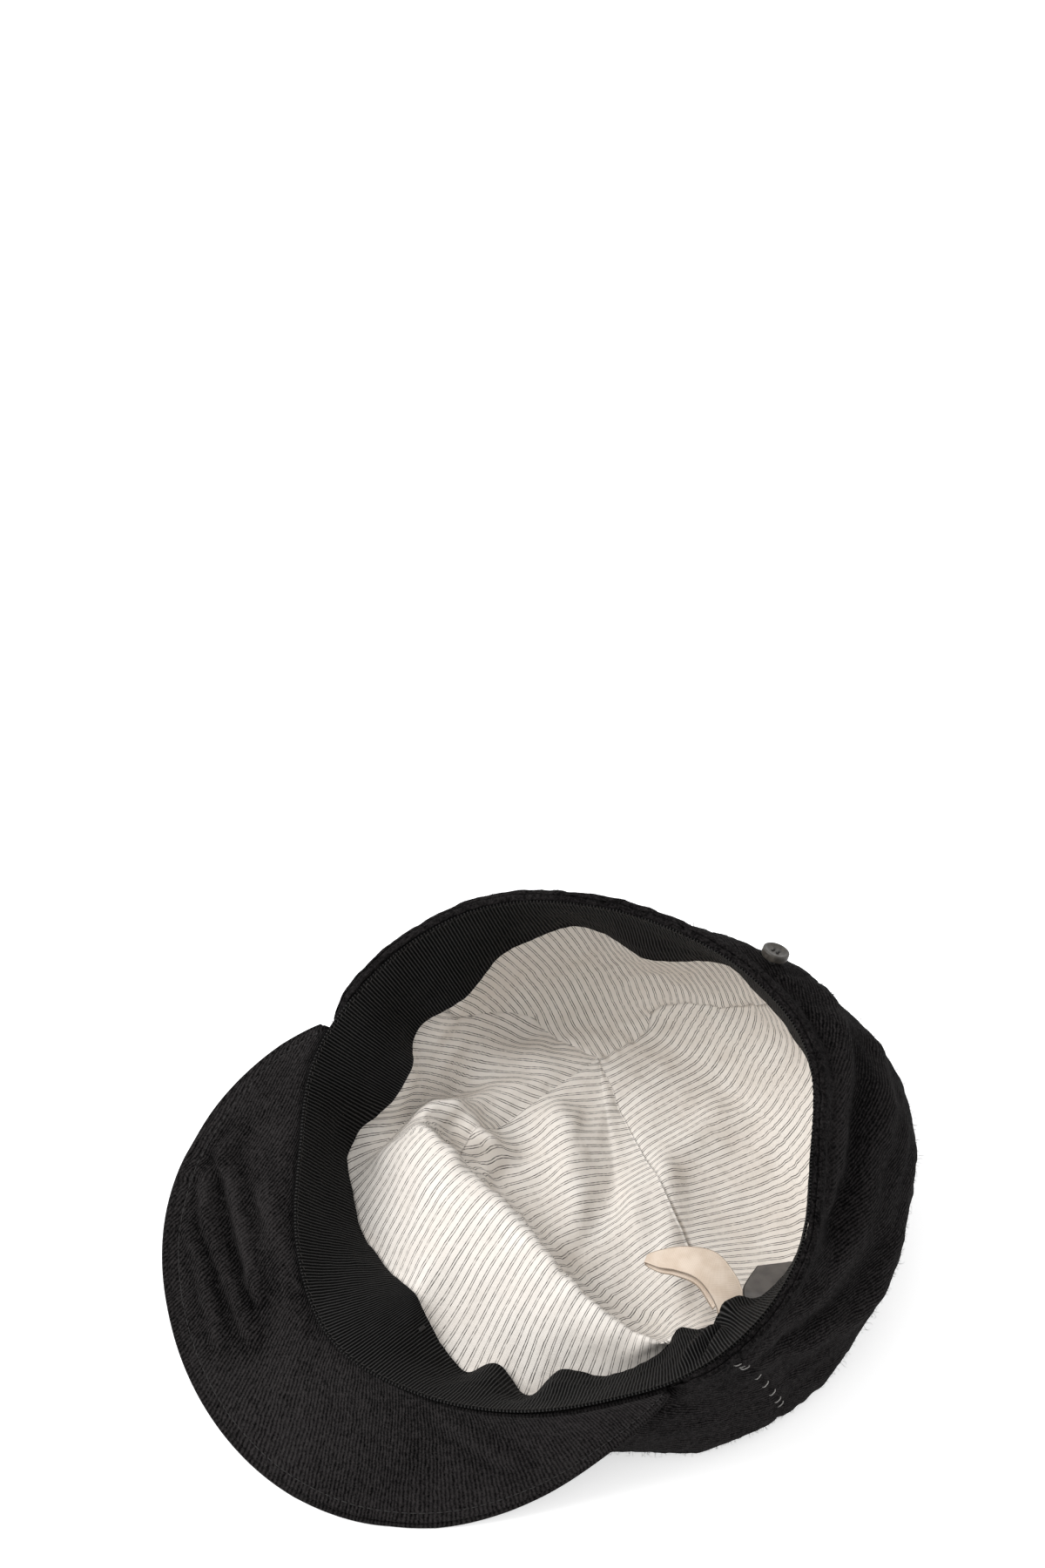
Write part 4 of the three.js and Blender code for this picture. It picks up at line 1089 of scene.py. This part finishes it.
drilled = bpy.data.meshes.new_from_object(button.evaluated_get(bpy.context.evaluated_depsgraph_get()))
button.modifiers.clear()
button.data = drilled
bpy.data.objects.remove(drills)
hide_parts("button")

over = [stood([(x, HOLE_OFFSET * k, dished + 0.25 - 0.9 * abs(k) ** 5) for k in np.linspace(-1, 1, 9)])
        for x in (-1.05, -0.85, 0.85, 1.05)]
threads("button_thread", over, 0.17, black_thread)
coil = np.linspace(0, 2 * np.pi * SHANK_TURNS, SHANK_STOPS)
winding = stood(np.stack([SHANK_RADIUS * 0.82 * np.cos(coil), SHANK_RADIUS * 0.82 * np.sin(coil),
                          np.linspace(-0.5, back + 0.2, SHANK_STOPS)], -1))
core = stood(np.linspace([0, 0, -0.5], [0, 0, back + 0.3], SHANK_STOPS))
shank = threads("button_shank", [winding], 0.26, black_thread)
threads("button_shank_core", [core], 0.95, black_thread, 10)
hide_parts("button_shank")

# ---------------------------------------------------------------- side seam stitches
# The right side seam is closed by hand below the hem with a row of pale slip stitches, which pull
# it into a ladder, and two longer tacks hold the hem down above them.

pale_thread = fibre_finish("pale_thread", 0.0004, (0.16, 0.155, 0.15), (0.5, 0.48, 0.46), 0.55, 0.35)


def on_seam(rows, aside):
    """Points on the crown's outer face beside the right seam, with the ways out and up the seam."""
    rows = np.asarray(rows, float)
    heading = seam_heading(CROWN_SEAMS["right"], rows) + aside
    grid = crown_middle(heading + np.array([[-0.4], [0], [0.4]]), rows[None])
    ahead = crown_middle(heading, rows - 0.004) - crown_middle(heading, rows + 0.004)
    out = unit(np.cross(ahead, grid[2] - grid[0]))
    out = out * np.sign((out * [1, 0, 0]).sum(-1, keepdims=True))
    return grid[1] + out * WOOL / 2, out, unit(ahead)


at, out, ahead = on_seam([0.4, 0.432, 0.466, 0.5, 0.535, 0.568], 0.0)
side_way = np.cross(out, ahead)
sewn = stitches(at + out * -0.1, unit(side_way - ahead * 0.8), out, length=3.0, rise=0.3)
threads("seam_stitches", sewn, 0.19, pale_thread)
at, out, ahead = on_seam([0.25, 0.3, 0.335], np.array([-0.9, 0.1, 0.2]))
sewn = stitches(at + out * 0.5, unit(np.cross(out, ahead) + ahead * 0.1), out, length=3.6, rise=0.35)
threads("hem_tacks", sewn, 0.22, pale_thread)

# ---------------------------------------------------------------- wool lint
# Short loose fibres that stand off the brushed face of the wool, most easily seen at its outline.

lint_fibre = fibre_finish("lint_fibre", 0.003, (0.003, 0.0028, 0.003), (0.032, 0.0295, 0.0295), 0.9, 0.1)
chance = np.random.default_rng(41)
for number, (middle, out, half) in enumerate(wool_faces):
    cell = np.linalg.norm(np.cross(np.gradient(middle, axis=1), np.gradient(middle, axis=0)), axis=-1)
    cell = cell * (middle[..., 2] > 2.2)
    count = 2200 if number < 4 else 1000
    chosen = chance.choice(cell.size, count, p=(cell / cell.sum()).ravel())
    at, out = middle.reshape(-1, 3)[chosen], out.reshape(-1, 3)[chosen]
    at = at + out * half.reshape(-1, 1)[chosen] + chance.normal(0, 0.5, (count, 3))
    length = chance.gamma(3.0, 0.42, (count, 1))
    lie = unit(chance.normal(size=(count, 3)) + out * 0.5)
    bend = unit(lie + 1.1 * chance.normal(size=(count, 3)) + out * 0.6)
    fibres = np.stack([at - out * 0.4, at + lie * length * 0.5, at + (lie + bend) * length * 0.5], 1)
    fibres[..., 2] = np.maximum(fibres[..., 2], 0.1)
    threads(f"lint_{number}", fibres, [0.06, 0.055, 0.02], lint_fibre, 3)
